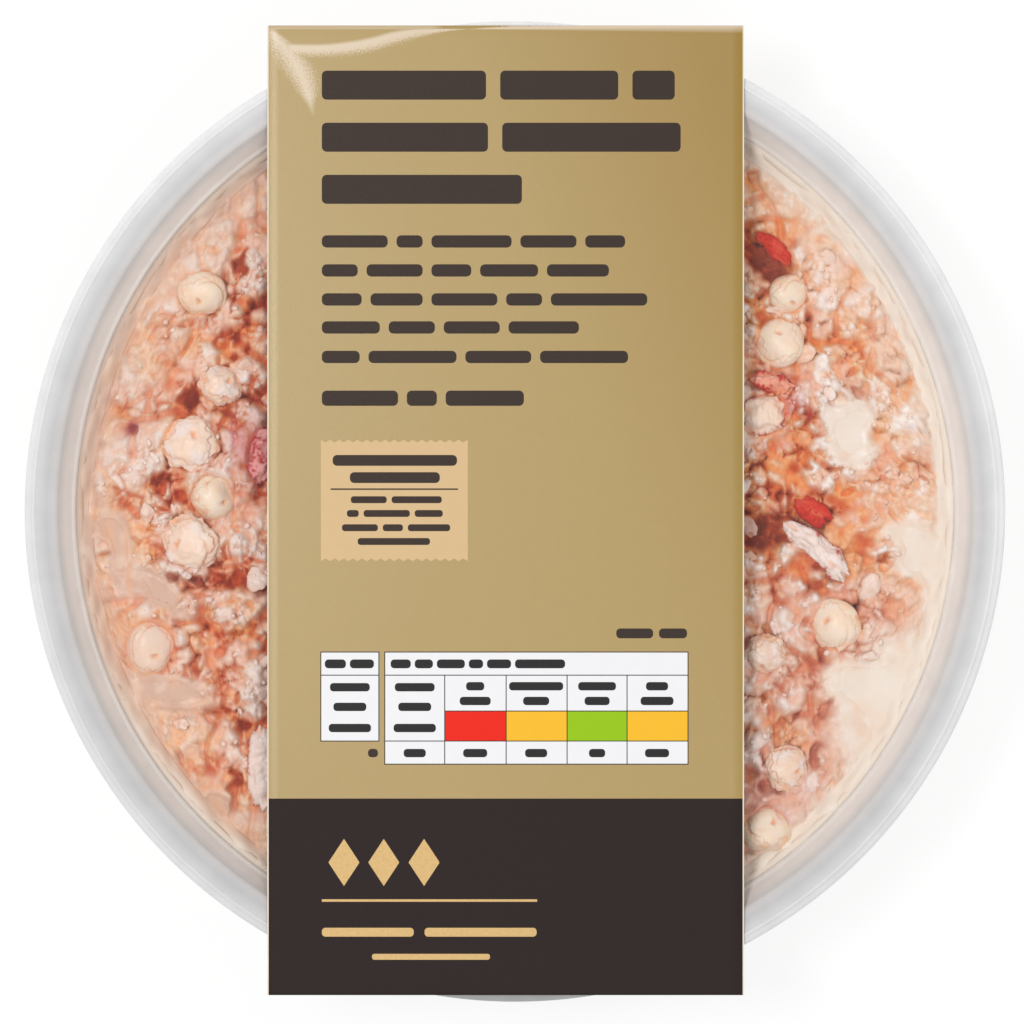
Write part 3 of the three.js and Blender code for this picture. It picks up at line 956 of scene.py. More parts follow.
@dataclass(frozen=True)
class GoldInk(PrintedCard):
    """Gold ink; painted shade deepens it to the upper right, painted sheen lights its fold and upper left
    corner.

    Places on the sheen are counted from the corner: aside of it, 1 at 40 mm, and down from it, 1 at
    20 mm.

    Attributes:
        far: The ink's colour at the upper right, where painted shade deepens it.
        slope: How fast that colour sets in along X and Y, to the metre.
        painted_sheen: The colour of the painted sheen on the fold and the pressed corner.
        corner: X and Y of the card's upper left corner, in metres.
        top_from: Heights in metres between which the side walls end and the top face begins.
        upper_middle: How far down the upper streak's middle lies, by how far aside.
        upper_half: Half that streak's width.
        side_middle: How far aside the side streak's middle lies, by how far down.
        side_half: Half that streak's width.
    """

    far: Colour = srgb(152, 118, 24)
    slope: Span = (13.6, 5.1)
    painted_sheen: Colour = srgb(212, 192, 164)
    corner: Span = (-0.0504, 0.0992)
    top_from: Span = (0.0484, 0.0492)
    upper_middle: Stops = (
        (0, 0.24), (0.25, 0.27), (0.4, 0.25), (0.525, 0.21), (0.65, 0.14), (0.8, 0.085), (1, 0.055)
    )
    upper_half: Stops = ((0, 0.05), (0.3, 0.058), (0.65, 0.06), (0.78, 0.04), (0.9, 0.014), (1, 0.002))
    side_middle: Stops = (
        (0, 0.0), (0.065, 0.022), (0.19, 0.065), (0.365, 0.13), (0.55, 0.18), (0.66, 0.2), (1, 0.24)
    )
    side_half: Stops = (
        (0, 0.006), (0.065, 0.014), (0.19, 0.04), (0.4, 0.058), (0.66, 0.04), (0.85, 0.012), (1, 0.004)
    )

    def base_colour(self, kit: NodeKit, grain: bpy.types.Node) -> Socket:
        """Gives the gold with its painted shade, the painted highlight on its fold and its painted sheen.

        Args:
            kit: The material's node kit.
            grain: The node of the paper's grain.

        Returns:
            The colour.
        """
        x, y, z = kit.apart().outputs
        # Painted shade: the gold deepens towards the upper right.
        upward = kit.math("MULTIPLY_ADD", y, self.slope[1], kit.math("MULTIPLY", x, self.slope[0]))
        painted_shade = kit.spread(upward, (0.35, 1.0))
        colour = kit.mix(painted_shade, super().base_colour(kit, grain), self.far)
        aside = kit.math("MULTIPLY", kit.math("SUBTRACT", x, self.corner[0]), 25.0)
        down = kit.math("MULTIPLY", kit.math("SUBTRACT", self.corner[1], y), 50.0)
        # Painted highlight along the top fold, left out over the slot.
        off_middle = kit.spread(kit.math("ABSOLUTE", x), (0.0145, 0.017), (0.0, 0.5))
        fold = kit.math("MULTIPLY", kit.spread(down, (0.045, 0.06), (1.0, 0.0)), off_middle)
        loose = kit.math("SUBTRACT", grain.outputs["Height"], 0.5)
        # Painted sheen: two pale streaks from the pressed corner.
        upper = self.upper_streak(kit, aside, down, loose)
        streaks = kit.math("MAXIMUM", upper, self.side_streak(kit, aside, down, loose))
        on_top = kit.spread(z, self.top_from)
        share = kit.math("MULTIPLY", kit.math("MAXIMUM", fold, streaks), on_top)
        return kit.mix(share, colour, self.painted_sheen)

    def upper_streak(self, kit: NodeKit, aside: Socket, down: Socket, loose: Socket) -> Socket:
        """Masks the painted sheen that runs along the top edge.

        Args:
            kit: The material's node kit.
            aside: How far right of the corner, 1 at 40 mm.
            down: How far below the corner, 1 at 20 mm.
            loose: Fine grain that breaks up the streak's edge.

        Returns:
            The mask.
        """
        middle = kit.curve(aside, self.upper_middle)
        half = kit.curve(aside, self.upper_half)
        away = kit.math("DIVIDE", kit.math("SUBTRACT", down, middle), half)
        upper = kit.spread(away, (-1.3, -0.7), (0.0, 0.9))
        lower = kit.spread(kit.math("MULTIPLY_ADD", loose, 3.0, away), (0.1, 1.3), (1.0, 0.0))
        inside = kit.math("MULTIPLY", upper, lower)
        return kit.math("MULTIPLY", inside, kit.spread(aside, (0.05, 0.12)))

    def side_streak(self, kit: NodeKit, aside: Socket, down: Socket, loose: Socket) -> Socket:
        """Masks the painted sheen that runs down from the corner.

        Args:
            kit: The material's node kit.
            aside: How far right of the corner, 1 at 40 mm.
            down: How far below the corner, 1 at 20 mm.
            loose: Fine grain that breaks up the streak's edge.

        Returns:
            The mask.
        """
        middle = kit.curve(down, self.side_middle)
        half = kit.curve(down, self.side_half)
        away = kit.math("DIVIDE", kit.math("ABSOLUTE", kit.math("SUBTRACT", aside, middle)), half)
        inside = kit.spread(kit.math("MULTIPLY_ADD", loose, 2.8, away), (0.2, 1.6), (0.9, 0.0))
        begun = kit.math("MULTIPLY", inside, kit.spread(down, (0.03, 0.09)))
        return kit.math("MULTIPLY", begun, kit.spread(down, (0.75, 0.95), (1.0, 0.0)))


SAUCE_FINISH = MoistFood(
    "cocktail_sauce", grain=500, relief=0.00008, roughness=(0.4, 0.5), gloss=0.12, wetness=0.0, mottle=0.2
)
CRAB_FINISH = MoistFood("flaked_crab")
PRAWN_FINISH = MoistFood(
    "prawn_flesh", grain=1100, roughness=(0.32, 0.5), gloss=0.3, wetness=0.15, mottle=0.3
)
LOBSTER_FINISH = MoistFood(
    "lobster_flesh", grain=1500, roughness=(0.35, 0.55), gloss=0.15, wetness=0.1, mottle=0.35
)
GOLD_FINISH = GoldInk(
    "gold_ink", srgb(163, 133, 58), roughness=(0.36, 0.44), grain=3200, mottle=0.012, gloss=0.9
)
DARK_FINISH = PrintedCard(
    "dark_ink", srgb(44, 34, 33), roughness=(0.5, 0.6), grain=3200, relief=0.00002, mottle=0.02, gloss=0.12
)
BOARD_FINISH = PrintedCard(
    "bare_board", srgb(240, 226, 206), roughness=(0.7, 0.85), grain=1500, relief=0.00004, mottle=0.05
)


# ---- tub and lid -------------------------------------------------------------------------------


@dataclass
class ClearTub:
    """The round clear tub.

    Attributes:
        wall: Thickness of its plastic.
        segments: Steps round the axis.
        fillet: How far from each corner its rounding starts.
        base_under: Height of its floor's underside.
        foot: Inner and outer radius of the foot ring.
        shoulder: Radius and height of the outside where the wall turns outwards.
        plug_top: Radius of the step that holds the lid's plug.
    """

    wall: float = 0.8
    segments: int = 240
    fillet: float = 0.45
    base_under: float = 2.0
    foot: Span = (72.0, 76.0)
    shoulder: Span = (88.2, 38.2)
    plug_top: float = PLUG_TOP

    def outline(self) -> list[Span]:
        """Lays out the wall's section, up the outside and down the inside.

        Returns:
            Radius and height of each corner.
        """
        low, high = (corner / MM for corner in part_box("tub"))
        rim, top = high.x, high.z
        outside = [
            (0, self.base_under),
            (self.foot[0] - 2, self.base_under),
            (self.foot[0], low.z),
            (self.foot[1], low.z),
            (79.6, 3.2),
            self.shoulder,
            (91.6, 40.2),
            (self.plug_top + self.wall, top - self.wall),
            (rim - 0.7, top - self.wall),
            (rim - 0.7, top - 2.5),
            (rim, top - 2.5),
            (rim, top),
        ]
        inside = [
            (self.plug_top + 0.3, top),
            *reversed(WALL_INSIDE),
            (77.5, self.base_under + self.wall),
            (0, self.base_under + self.wall),
        ]
        return outside + inside

    def build(self, finish: bpy.types.Material) -> bpy.types.Object:
        """Makes the tub.

        Args:
            finish: Its material.

        Returns:
            The tub.
        """
        points, faces = spun_body(rounded_outline(self.outline(), self.fillet), self.segments)
        return make_object("clear_tub", points, faces, [finish], sharp_angle=50)


@dataclass
class PressedLid:
    """The clear lid with its sunken panel.

    Attributes:
        wall: Thickness of its plastic.
        segments: Steps round the axis.
        fillet: How far from each corner its rounding starts.
        panel_top: Height of the panel.
        panel_radius: Radius of the panel.
        flange_top: Height of the flange.
        plug_top: Radius where the plug ends and the flange begins.
        bead_radius: Radius of the bead on the flange.
    """

    wall: float = 0.8
    segments: int = 240
    fillet: float = 0.35
    panel_top: float = 43.7
    panel_radius: float = 89.6
    flange_top: float = FLANGE_TOP
    plug_top: float = PLUG_TOP
    bead_radius: float = 98.1

    def outline(self) -> list[Span]:
        """Lays out the lid's section, out along the underside and back over the top.

        Returns:
            Radius and height of each corner.
        """
        low, high = (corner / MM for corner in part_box("lid"))
        rim, skirt, bead_top = high.x, low.z, high.z
        inner = rim - 0.9
        under = [
            (0, self.panel_top - self.wall),
            (self.panel_radius + 1.4, self.panel_top - self.wall),
            (self.plug_top, self.flange_top - self.wall),
            (inner, self.flange_top - self.wall),
            (inner, skirt + 1.3),
            (inner - 0.6, skirt + 0.7),
            (inner - 0.6, skirt),
        ]
        over = [
            (rim, skirt),
            (rim, self.flange_top - 0.9),
            (rim - 0.5, self.flange_top - 0.2),
            (self.bead_radius + 0.4, self.flange_top),
            (self.bead_radius, bead_top),
            (self.bead_radius - 0.4, self.flange_top),
            (self.plug_top, self.flange_top),
            (self.plug_top - 0.7, self.flange_top - 0.3),
            (self.panel_radius + 1.1, self.panel_top + 0.5),
            (self.panel_radius + 0.4, self.panel_top + 0.5),
            (self.panel_radius, self.panel_top),
            (0, self.panel_top),
        ]
        return under + over

    def build(self, rim: bpy.types.Material, panel: bpy.types.Material) -> bpy.types.Object:
        """Makes the lid, with its clear panel inside the frosted rim.

        Args:
            rim: The rim's material.
            panel: The panel's material.

        Returns:
            The lid.
        """
        points, faces = spun_body(rounded_outline(self.outline(), self.fillet), self.segments)
        inside = reach_of(points) < self.panel_radius + 0.5
        finishes = [int(all(inside[face])) for face in faces]
        return make_object("clear_lid", points, faces, [rim, panel], finishes=finishes, sharp_angle=50)


# ---- food --------------------------------------------------------------------------------------


@dataclass(frozen=True)
class Spot:
    """A soft-edged oval place on the food.

    Attributes:
        x: Middle along X.
        y: Middle along Y.
        along: Half length.
        across: Half width.
        turn: Degrees from X to its length.
    """

    x: float
    y: float
    along: float
    across: float
    turn: float = 0.0

    def away(self, places: np.ndarray) -> np.ndarray:
        """Gives how far places lie from the middle.

        Args:
            places: X and Y of each place.

        Returns:
            One distance a place, counted as 1 on the oval.
        """
        turn = math.radians(self.turn)
        aside, ahead = places[..., 0] - self.x, places[..., 1] - self.y
        along = (aside * math.cos(turn) + ahead * math.sin(turn)) / self.along
        across = (ahead * math.cos(turn) - aside * math.sin(turn)) / self.across
        return np.hypot(along, across)

    def closeness(self, places: np.ndarray) -> np.ndarray:
        """Gives 1 in the middle, falling smoothly towards 0 outside."""
        return np.exp(-self.away(places) ** 2)


@dataclass(frozen=True)
class Hollow(Spot):
    """A gap between clumps, depth deep, or a rise where depth is below 0."""

    depth: float = 4.0


@dataclass(frozen=True)
class Blush(Spot):
    """A place where the food takes another colour, as far as strength says."""

    colour: Colour = FOOD.rust
    strength: float = 0.8


# Middle, half length, half width, turn and depth of each gap between the clumps.
HOLLOWS = (
    Hollow(51.1, -5, 5.0, 4.2, 20, 5.5),
    Hollow(52, 52, 6.5, 3.2, -38, 5),
    Hollow(-56, 50.6, 3.0, 1.6, 70, 5),
    Hollow(-61.5, 34.6, 1.7, 1.4, 0, 3),
    Hollow(-67, 23.5, 2.6, 1.6, 60, 3.5),
    Hollow(-57.8, 31.8, 2.0, 1.3, -20, 3),
    Hollow(-73.6, 5.6, 2.4, 1.5, 80, 3.5),
    Hollow(-58.2, -14, 4.6, 2.0, 5, 4),
    Hollow(-56.4, -44, 2.0, 2.6, 0, 4),
    Hollow(-57.6, -57, 4.5, 1.7, 85, 4.5),
    Hollow(62, -15.5, 5.5, 1.6, -42, 3.4),
    Hollow(77, -19.5, 3.4, 2.2, -60, 2.6),
    Hollow(62, -50, 3.6, 1.5, 60, 4),
    Hollow(-71.5, 10.6, 2, 1.3, 70, 3),
    Hollow(-70, -13.5, 1.5, 1.1, 20, 3),
    Hollow(-65.4, -14.8, 1.9, 1.0, -30, 3),
    Hollow(-78.8, 17, 1.2, 0.9, 70, 2.2),
    Hollow(53, -57, 3.2, 2, -30, 3.5),
    Hollow(49.4, -54, 1.6, 3, 0, 3.5),
    Hollow(58, 20.5, 2.6, 1.2, 20, 2.5),
    Hollow(70, 24.5, 2.6, 1.3, -30, 2.4),
    Hollow(-66, 12, 1.6, 1.2, 40, 2.4),
    Hollow(-76, -26, 1.8, 1.1, 20, 2.2),
    Hollow(75.4, -9.4, 3.2, 3.2, 0, -2.6),
)

# Middle, half length, half width, turn, colour and strength of each coloured place.
BLUSHES = (
    Blush(-53.4, 12.6, 4.2, 7.0, 0, FOOD.crimson, 0.75),
    Blush(-57.5, 15.5, 1.6, 3.5, 15, FOOD.rose, 0.6),
    Blush(-79.0, 17.2, 1.7, 1.2, 60, FOOD.magenta, 1.3),
    # Dark plum in two small hollows: painted shade.
    Blush(-69.9, -13.7, 1.2, 0.9, 0, FOOD.plum, 0.65),
    Blush(-65.4, -14.3, 1.9, 1.0, 0, FOOD.plum, 0.6),
    Blush(79.5, -20.2, 4.0, 2.6, -60, FOOD.peach, 0.9),
    Blush(72.4, -21.4, 2.2, 1.3, 0, FOOD.rust, 0.6),
    Blush(77, 6, 5, 4, 0, FOOD.peach, 0.6),
    Blush(67, -8, 6, 2.6, -38, FOOD.apricot, 0.7),
    Blush(56.4, 22.4, 3.0, 2.6, 0, FOOD.skin, 0.6),
    Blush(60.5, 20.0, 1.3, 1.6, 0, FOOD.crimson, 0.8),
    Blush(54, 27.5, 5, 2.2, -12, FOOD.coral, 0.7),
    # Brown and russet in the two deepest gaps: painted shade.
    Blush(52, 52, 6, 3.0, -38, FOOD.brown, 0.7),
    Blush(50.4, -4.6, 5, 3.8, 20, FOOD.russet, 0.8),
    Blush(70.5, 24.6, 3, 1.6, -30, FOOD.dull_coral, 0.6),
    Blush(68, 48, 16, 14, -40, FOOD.peach, 0.22),
    Blush(52, -60, 8, 8, 0, FOOD.dusky_rose, 0.45),
)

# Middle, half length, half width and turn of each pool of sauce.
POOLS = (
    Spot(-82.0, -6.0, 2.8, 6.5, 18),
    Spot(-72.5, -17.2, 5.5, 2.7, -35),
    Spot(-71.5, -37.0, 6.0, 3.2, -15),
    Spot(-61.5, -59.0, 2.8, 1.9, -40),
    Spot(69.2, 16.8, 3.8, 6, 10),
    Spot(79.5, -37, 8, 12, -38),
    Spot(70, -35, 4, 3, 0),
    Spot(87.0, -14, 2.6, 8, 0),
    Spot(82, -8, 3.5, 5, 30),
)

# Colours of the crab from its dark gaps to its pale crowns, and the same where it's warmer: partly
# the flesh's own tones, partly painted shade in the gaps and painted light on the crowns.
FLESH_AND_PAINTED_LIGHT_RAMP = (
    (-5.0, FOOD.deep),
    (-3.4, FOOD.brown),
    (-2.4, srgb(206, 82, 38)),
    (-1.6, srgb(224, 120, 78)),
    (-1.0, srgb(234, 156, 120)),
    (-0.4, srgb(238, 184, 160)),
    (0.3, srgb(242, 205, 188)),
    (0.8, FOOD.pearl),
)
WARM_FLESH_AND_PAINTED_LIGHT_RAMP = (
    (-5.0, FOOD.deep),
    (-3.4, FOOD.brown),
    (-2.4, FOOD.rust),
    (-1.6, srgb(240, 142, 78)),
    (-1.0, srgb(245, 165, 102)),
    (-0.3, srgb(244, 190, 148)),
    (0.4, srgb(244, 212, 188)),
    (1.0, FOOD.pearl),
)


@dataclass(frozen=True)
class Layer:
    """One scale of the food's relief.

    Attributes:
        cell: Mean distance between its lumps.
        rise: How far its crowns stand above its gaps.
        stretch: How much longer than wide its longest lumps are.
        warp: How far its lumps are pushed out of shape.
        seed: Chooses one pattern.
        middle: The lumps' mean height, as cobbles gives it.
        calmed: How far the smearing next to the wall flattens it.
    """

    cell: float
    rise: float
    stretch: float
    warp: float
    seed: int
    middle: float = 0.66
    calmed: float = 0.0

    def field(self, places: np.ndarray) -> Cobbles:
        """Gives the layer's lumps.

        Args:
            places: X and Y of each place.

        Returns:
            The lumps there.
        """
        bends = [Ripple(self.warp, 0.8 * self.cell, self.seed + 50 + axis) for axis in (0, 1)]
        bent = places + np.stack([bend.at(places) for bend in bends], axis=-1)
        return cobbles(bent, self.cell, self.stretch, self.seed)

    def relief(self, lumps: Cobbles, calm: np.ndarray) -> np.ndarray:
        """Gives how far the layer raises the surface, where calm is the smearing."""
        return self.rise * (1 - self.calmed * calm) * (lumps.height - self.middle)


@dataclass
class FoodSample:
    """The food's surface at some places.

    Attributes:
        height: Height of the surface.
        colour: Colour of the surface.
    """

    height: np.ndarray
    colour: np.ndarray


@dataclass
class Topping:
    """One prawn or lobster piece that lies in the food.

    Attributes:
        node: The solid that it stands for.
        middle: Its centre.
        plan: Its outline in plan.
        height: Its height.
    """

    node: str
    middle: np.ndarray
    plan: Spot
    height: float

    @staticmethod
    def of_node(node: str, shape: Triple | None = None) -> Topping:
        """Reads a topping's place from its solid.

        Args:
            node: The solid's name.
            shape: Length, width and turn in degrees, where the piece is long.

        Returns:
            The topping.
        """
        low, high = (np.array(corner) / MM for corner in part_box(node))
        middle = (low + high) / 2
        across = float(high[0] + high[1] - low[0] - low[1]) / 2
        length, width, turn = shape or (across, across, 0.0)
        plan = Spot(middle[0], middle[1], length / 2, width / 2, turn)
        return Topping(node, middle, plan, float(high[2] - low[2]))

    def lay(self, shape: np.ndarray, yaw: float, lean: float = 0.0) -> np.ndarray:
        """Lays a shape where the solid is, flattened where it meets the lid.

        Args:
            shape: The shape's points, round its own origin.
            yaw: Degrees that it's turned in plan.
            lean: Degrees that it's tipped before that.

        Returns:
            The laid points.
        """
        turned = np.array(Euler((math.radians(lean), 0, math.radians(yaw)), "XYZ").to_matrix())
        laid = shape @ turned.T
        laid += self.middle - (laid.min(axis=0) + laid.max(axis=0)) / 2
        laid[:, 2] = np.minimum(laid[:, 2], UNDER_LID)
        return laid


@dataclass(frozen=True)
class SauceTone:
    """The sauce's colour: creamy, warmer on the left and in blotches, paler by the wall with a painted
    highlight.

    Attributes:
        shaded: Where it's in the shade.
        creamy: Where it's creamy.
        warm: Where it's warm.
        left_band: From which X to which it grows warmer.
        wall_highlight_band: From where to where, off the axis, it grows paler with the painted highlight and
            less warm.
        lit_bands: From where to where the painted highlight is strongest, on the lit side, along X + Y and
            along Y.
    """

    shaded: Mottle = Mottle(-0.1, 0.8, 5.0, 95)
    creamy: Mottle = Mottle(0.1, 0.8, 2.6, 97)
    warm: Mottle = Mottle(0.0, 0.8, (2.2, 3.6), 96)
    left_band: Span = (20, -60)
    wall_highlight_band: Span = (86.5, 89.5)
    lit_bands: tuple[Span, Span] = ((-40, 60), (-20, -65))

    def at(self, places: np.ndarray, blotches: np.ndarray | None = None) -> np.ndarray:
        """Colours the sauce at some places.

        Args:
            places: X and Y of each place.
            blotches: Where in the pattern of blotches each place lies, if not at its own X and Y.

        Returns:
            One colour a place.
        """
        x, y = apart(places)
        places = places if blotches is None else blotches
        left = smoothstep(*self.left_band, x)
        outer = smoothstep(*self.wall_highlight_band, np.hypot(x, y))
        askew, upright = self.lit_bands
        lit = np.maximum(smoothstep(*askew, x + y), smoothstep(*upright, y))
        colour = blend(plain(FOOD.sauce, x.shape), FOOD.sauce_left, left * 0.95)
        colour = blend(colour, FOOD.sauce_shade, self.shaded.at(places) * (0.15 + 0.3 * left))
        colour = blend(colour, FOOD.cream, self.creamy.at(places) * (0.15 + 0.3 * left))
        warmth = self.warm.at(places) * (0.12 + 0.24 * left) * (1 - 0.6 * outer)
        colour = blend(colour, FOOD.sauce_warm, warmth)
        # Painted highlight: paler by the wall, strongest on the lit side.
        return blend(colour, FOOD.sauce_lit, outer * (0.35 + 0.55 * lit))


SAUCE = SauceTone()


@dataclass
class Relief:
    """The food's lumps at some places, and what flattens them there.

    Attributes:
        places: X and Y of each place.
        clumps: The widest lumps.
        lumps: The lumps on those.
        grains: The grains on the lumps.
        pips: The finest grains.
        pits: The lumps whose crowns become pits.
        calm: 1 next to the wall, where the food is smeared smooth.
        sauced: 1 where sauce covers the lumps.
    """

    places: np.ndarray
    clumps: Cobbles
    lumps: Cobbles
    grains: Cobbles
    pips: Cobbles
    pits: Cobbles
    calm: np.ndarray
    sauced: np.ndarray


@dataclass
class FoodSurface:
    """Height and colour of the mixed crab, prawns and sauce, seen in plan.

    Attributes:
        toppings: What lies in it.
        hidden: X of the sleeve's cut edges, a little inwards; the food doesn't show between them.
        level: Mean height of the crab.
        highest: Where its crowns are pressed flat by the lid.
        lowest: Floor of its deepest gaps.
        edge_level: The same next to the wall.
        wall: Radius of the tub's wall at the top.
        pool_level: Height of the sauce in the pools.
        pool_edge: How close to a pool the crab begins to meet the sauce's top, and meets it.
        pool_under: How close to a pool the crab begins to sink below the sauce, and is 1 mm below.
        pool_cover: How close to a pool the sauce begins to cover the lumps, and covers them.
        off_sauce: How far above or below the sauce's top the crab meets it.
        pressed_share: How much is left of a crown's height over the highest.
        calm_band: From where to where, off the axis, the food grows smooth.
        edge_band: From where to where, off the axis, its gaps grow shallow.
        colour_band: From where to where, off the axis, it takes the sauce's colour.
        lap_band: From where to where, past the wall's line, the sauce laps over the crab.
        smear_band: From which X to which the smears grow stronger.
        low_band: From which Y to which the food grows pinker and softer.
        right_band: From which X to which the food grows paler and warmer.
        topping_shadow_band: From where to where, in shares of a topping's size, the food darkens towards it,
            a painted shadow.
        nest_reach: How far a topping's nest reaches, as a share of its size.
        nest_sunk: How far below its middle its nest lies, as a share of its height.
        nest_rise: How steeply its nest rises outwards.
        hollow_share: How much of their depth the hollows have.
        crack_depth: Depth of the widest cracks between lumps.
        crack_width: How wide they open, as a share of a lump.
        crease_depth: Depth of the creases between whole clumps.
        clumps: The widest lumps.
        lumps: The lumps on those.
        grains: The grains on the lumps.
        pips: The finest grains.
        pits: Lumps whose crowns become pits.
        pool_shift: How far the pools' edges wander along X and Y.
        pool_waves: How uneven the pools' top is.
        ragged: How far the hollows' edges wander along X and Y.
        lapping: How unevenly the sauce laps over the crab at the wall.
        smears: Where sauce smears the lumps next to the wall.
        creased: Where the creases are open.
        cracked: How much more the cracks open in some regions than in others.
        wide_cracks: Where the cracks between lumps are open.
        thin_cracks: Where the cracks between grains are open.
        uneven: How uneven the colour is.
        warm_patches: Where the food is warmer.
        smear_streaks: Creamy streaks next to the wall.
        smear_blotches: Warm blotches next to the wall.
        wall_ragged: How uneven the edge of the sauce's colour at the wall is.
    """

    toppings: list[Topping]
    hidden: Span
    level: float = 40.3
    highest: float = 42.1
    lowest: float = 34.0
    edge_level: float = 39.5
    wall: float = 88.2
    pool_level: float = 39.7
    pool_edge: Span = (0.04, 0.5)
    pool_under: Span = (0.5, 1.0)
    pool_cover: Span = (0.0, 0.34)
    off_sauce: float = 0.1
    pressed_share: float = 0.15
    calm_band: Span = (70, 87)
    edge_band: Span = (83, 87)
    colour_band: Span = (84.5, 87.5)
    lap_band: Span = (-2.6, -0.6)
    smear_band: Span = (10, -50)
    low_band: Span = (0, -32)
    right_band: Span = (-40, 40)
    topping_shadow_band: Span = (1.4, 1.05)
    nest_reach: float = 1.5
    nest_sunk: float = 0.2
    nest_rise: float = 2.2
    hollow_share: float = 0.8
    crack_depth: float = 1.8
    crack_width: float = 0.38
    crease_depth: float = 1.7
    clumps: Layer = Layer(8.8, 3.4, 0.4, 1.4, 3, middle=0.62, calmed=0.4)
    lumps: Layer = Layer(3.2, 1.5, 0.35, 0.6, 5, calmed=0.3)
    grains: Layer = Layer(1.7, 0.95, 0.3, 0.25, 9, calmed=0.35)
    pips: Layer = Layer(0.85, 0.26, 0.3, 0.15, 13)
    pits: Layer = Layer(3.6, 1.5, 0.8, 1.2, 17)
    pool_shift: tuple[Ripple, Ripple] = (Ripple(1.5, 4.0, 71), Ripple(1.5, 4.0, 72))
    pool_waves: tuple[Ripple, Ripple] = (Ripple(0.4, 4.0, 91), Ripple(0.14, 1.6, 92))
    ragged: tuple[Ripple, Ripple] = (Ripple(1.1, 1.9, 84), Ripple(1.1, 1.9, 85))
    lapping: Ripple = Ripple(0.7, 1.8, 93)
    smears: Mottle = Mottle(-0.5, 0.6, (5.0, 8.0), 98)
    creased: Mottle = Mottle(-0.5, 0.4, 7.0, 94)
    cracked: Ripple = Ripple(0.4, 12.0, 90)
    wide_cracks: Mottle = Mottle(-0.5, 0.8, 3.0, 86)
    thin_cracks: Mottle = Mottle(-0.3, 0.8, 2.4, 87)
    uneven: Ripple = Ripple(0.35, 9.0, 89)
    warm_patches: tuple[Ripple, Ripple] = (Ripple(0.7, 4.2, 81), Ripple(0.6, 1.7, 82))
    smear_streaks: Mottle = Mottle(0.0, 0.8, (2.2, 5.0), 83)
    smear_blotches: Mottle = Mottle(0.2, 0.8, (2.6, 4.4), 85)
    wall_ragged: Ripple = Ripple(1.5, 1.6, 99)

    def pool_closeness(self, places: np.ndarray) -> np.ndarray:
        """Gives 1 or more in the middle of a pool, falling towards 0 outside."""
        shifted = places + paired(*(shift.at(places) for shift in self.pool_shift))
        return sum(pool.closeness(shifted) for pool in POOLS)

    def pool_top(self, places: np.ndarray) -> np.ndarray:
        """Gives the gently uneven height of the sauce in the pools."""
        broad, fine = (wave.at(places) for wave in self.pool_waves)
        return self.pool_level + broad + fine

    def calm(self, places: np.ndarray) -> np.ndarray:
        """Gives 1 next to the wall, where the food is smeared smooth."""
        return smoothstep(*self.calm_band, reach_of(places))

    def smeared(self, places: np.ndarray) -> np.ndarray:
        """Gives how far sauce smears the lumps smooth next to the wall."""
        share = 0.3 + 0.1 * smoothstep(*self.smear_band, places[..., 0])
        return self.calm(places) * self.smears.at(places) * share

    def sample(self, places: np.ndarray) -> FoodSample:
        """Works out the surface at some places.

        Args:
            places: X and Y of each place.

        Returns:
            The surface there.
        """
        layers = (self.clumps, self.lumps, self.grains, self.pips, self.pits)
        near_pool, calm = self.pool_closeness(places), self.calm(places)
        sauced = np.maximum(smoothstep(*self.pool_cover, near_pool), self.smeared(places))
        food = Relief(places, *(layer.field(places) for layer in layers), calm, sauced)
        fine = self.lumps.relief(food.lumps, calm) + self.grains.relief(food.grains, calm)
        fine = (fine + self.pips.relief(food.pips, calm)) * (1 - 0.85 * sauced)
        coarse = self.clumps.relief(food.clumps, calm) * (1 - 0.7 * sauced)
        sunk = self.sunk(food)
        beside, nest = self.beds(places)
        height = self.level + coarse + fine - sunk
        met, pool_top = smoothstep(*self.pool_edge, near_pool), self.pool_top(places)
        height += (pool_top + self.off_sauce - height) * met - smoothstep(*self.pool_under, near_pool)
        reach = reach_of(places)
        lap = [self.wall + past for past in self.lap_band]
        lapped = smoothstep(*lap, reach + self.lapping.at(places))
        height += (pool_top - self.off_sauce - height) * lapped
        pressed = self.highest + self.pressed_share * (height - self.highest)
        height = np.where(height > self.highest, pressed, height)
        lowest = self.lowest + (self.edge_level - self.lowest) * smoothstep(*self.edge_band, reach)
        height = np.maximum(np.minimum(height, nest), lowest)
        # The tint paints light and shade over the flesh's own tones: higher on crowns as painted light,
        # lower where the surface sinks as painted shade in hollows, pits, cracks and creases.
        tint = 0.35 + 0.45 * coarse + 0.62 * fine - (0.9 - 0.32 * self.low_down(places)) * sunk
        # Painted shadow: the food darkens next to each topping.
        tint += self.uneven.at(places) - 0.9 * beside
        return FoodSample(height, blend(self.colour(food, tint), SAUCE.at(places), 0.95 * sauced))

    def sunk(self, food: Relief) -> np.ndarray:
        """Sinks the surface in hollows, pits, cracks and creases.

        Args:
            food: The food's lumps.

        Returns:
            How far each place is sunk.
        """
        wander = paired(*(shift.at(food.places) for shift in self.ragged))
        ragged = food.places + wander + 0.8 * (paired(food.lumps.tone, food.grains.tone) - 0.5)
        sunk = self.hollow_share * sum(
            hollow.depth * smoothstep(0.18, 0.85, hollow.closeness(ragged)) for hollow in HOLLOWS
        )
        sunk += self.pits.rise * smoothstep(0.85, 1.02, food.pits.height) * (1 - 0.75 * food.calm)
        bare = 1 - food.sauced
        sunk += self.crack_depth * self.cracks(food) * (1 - 0.5 * food.calm) * bare
        parted = smoothstep(0.3, 0.02, food.clumps.margin) * self.creased.at(food.places)
        return sunk + self.crease_depth * parted * (1 - 0.6 * food.calm) * bare

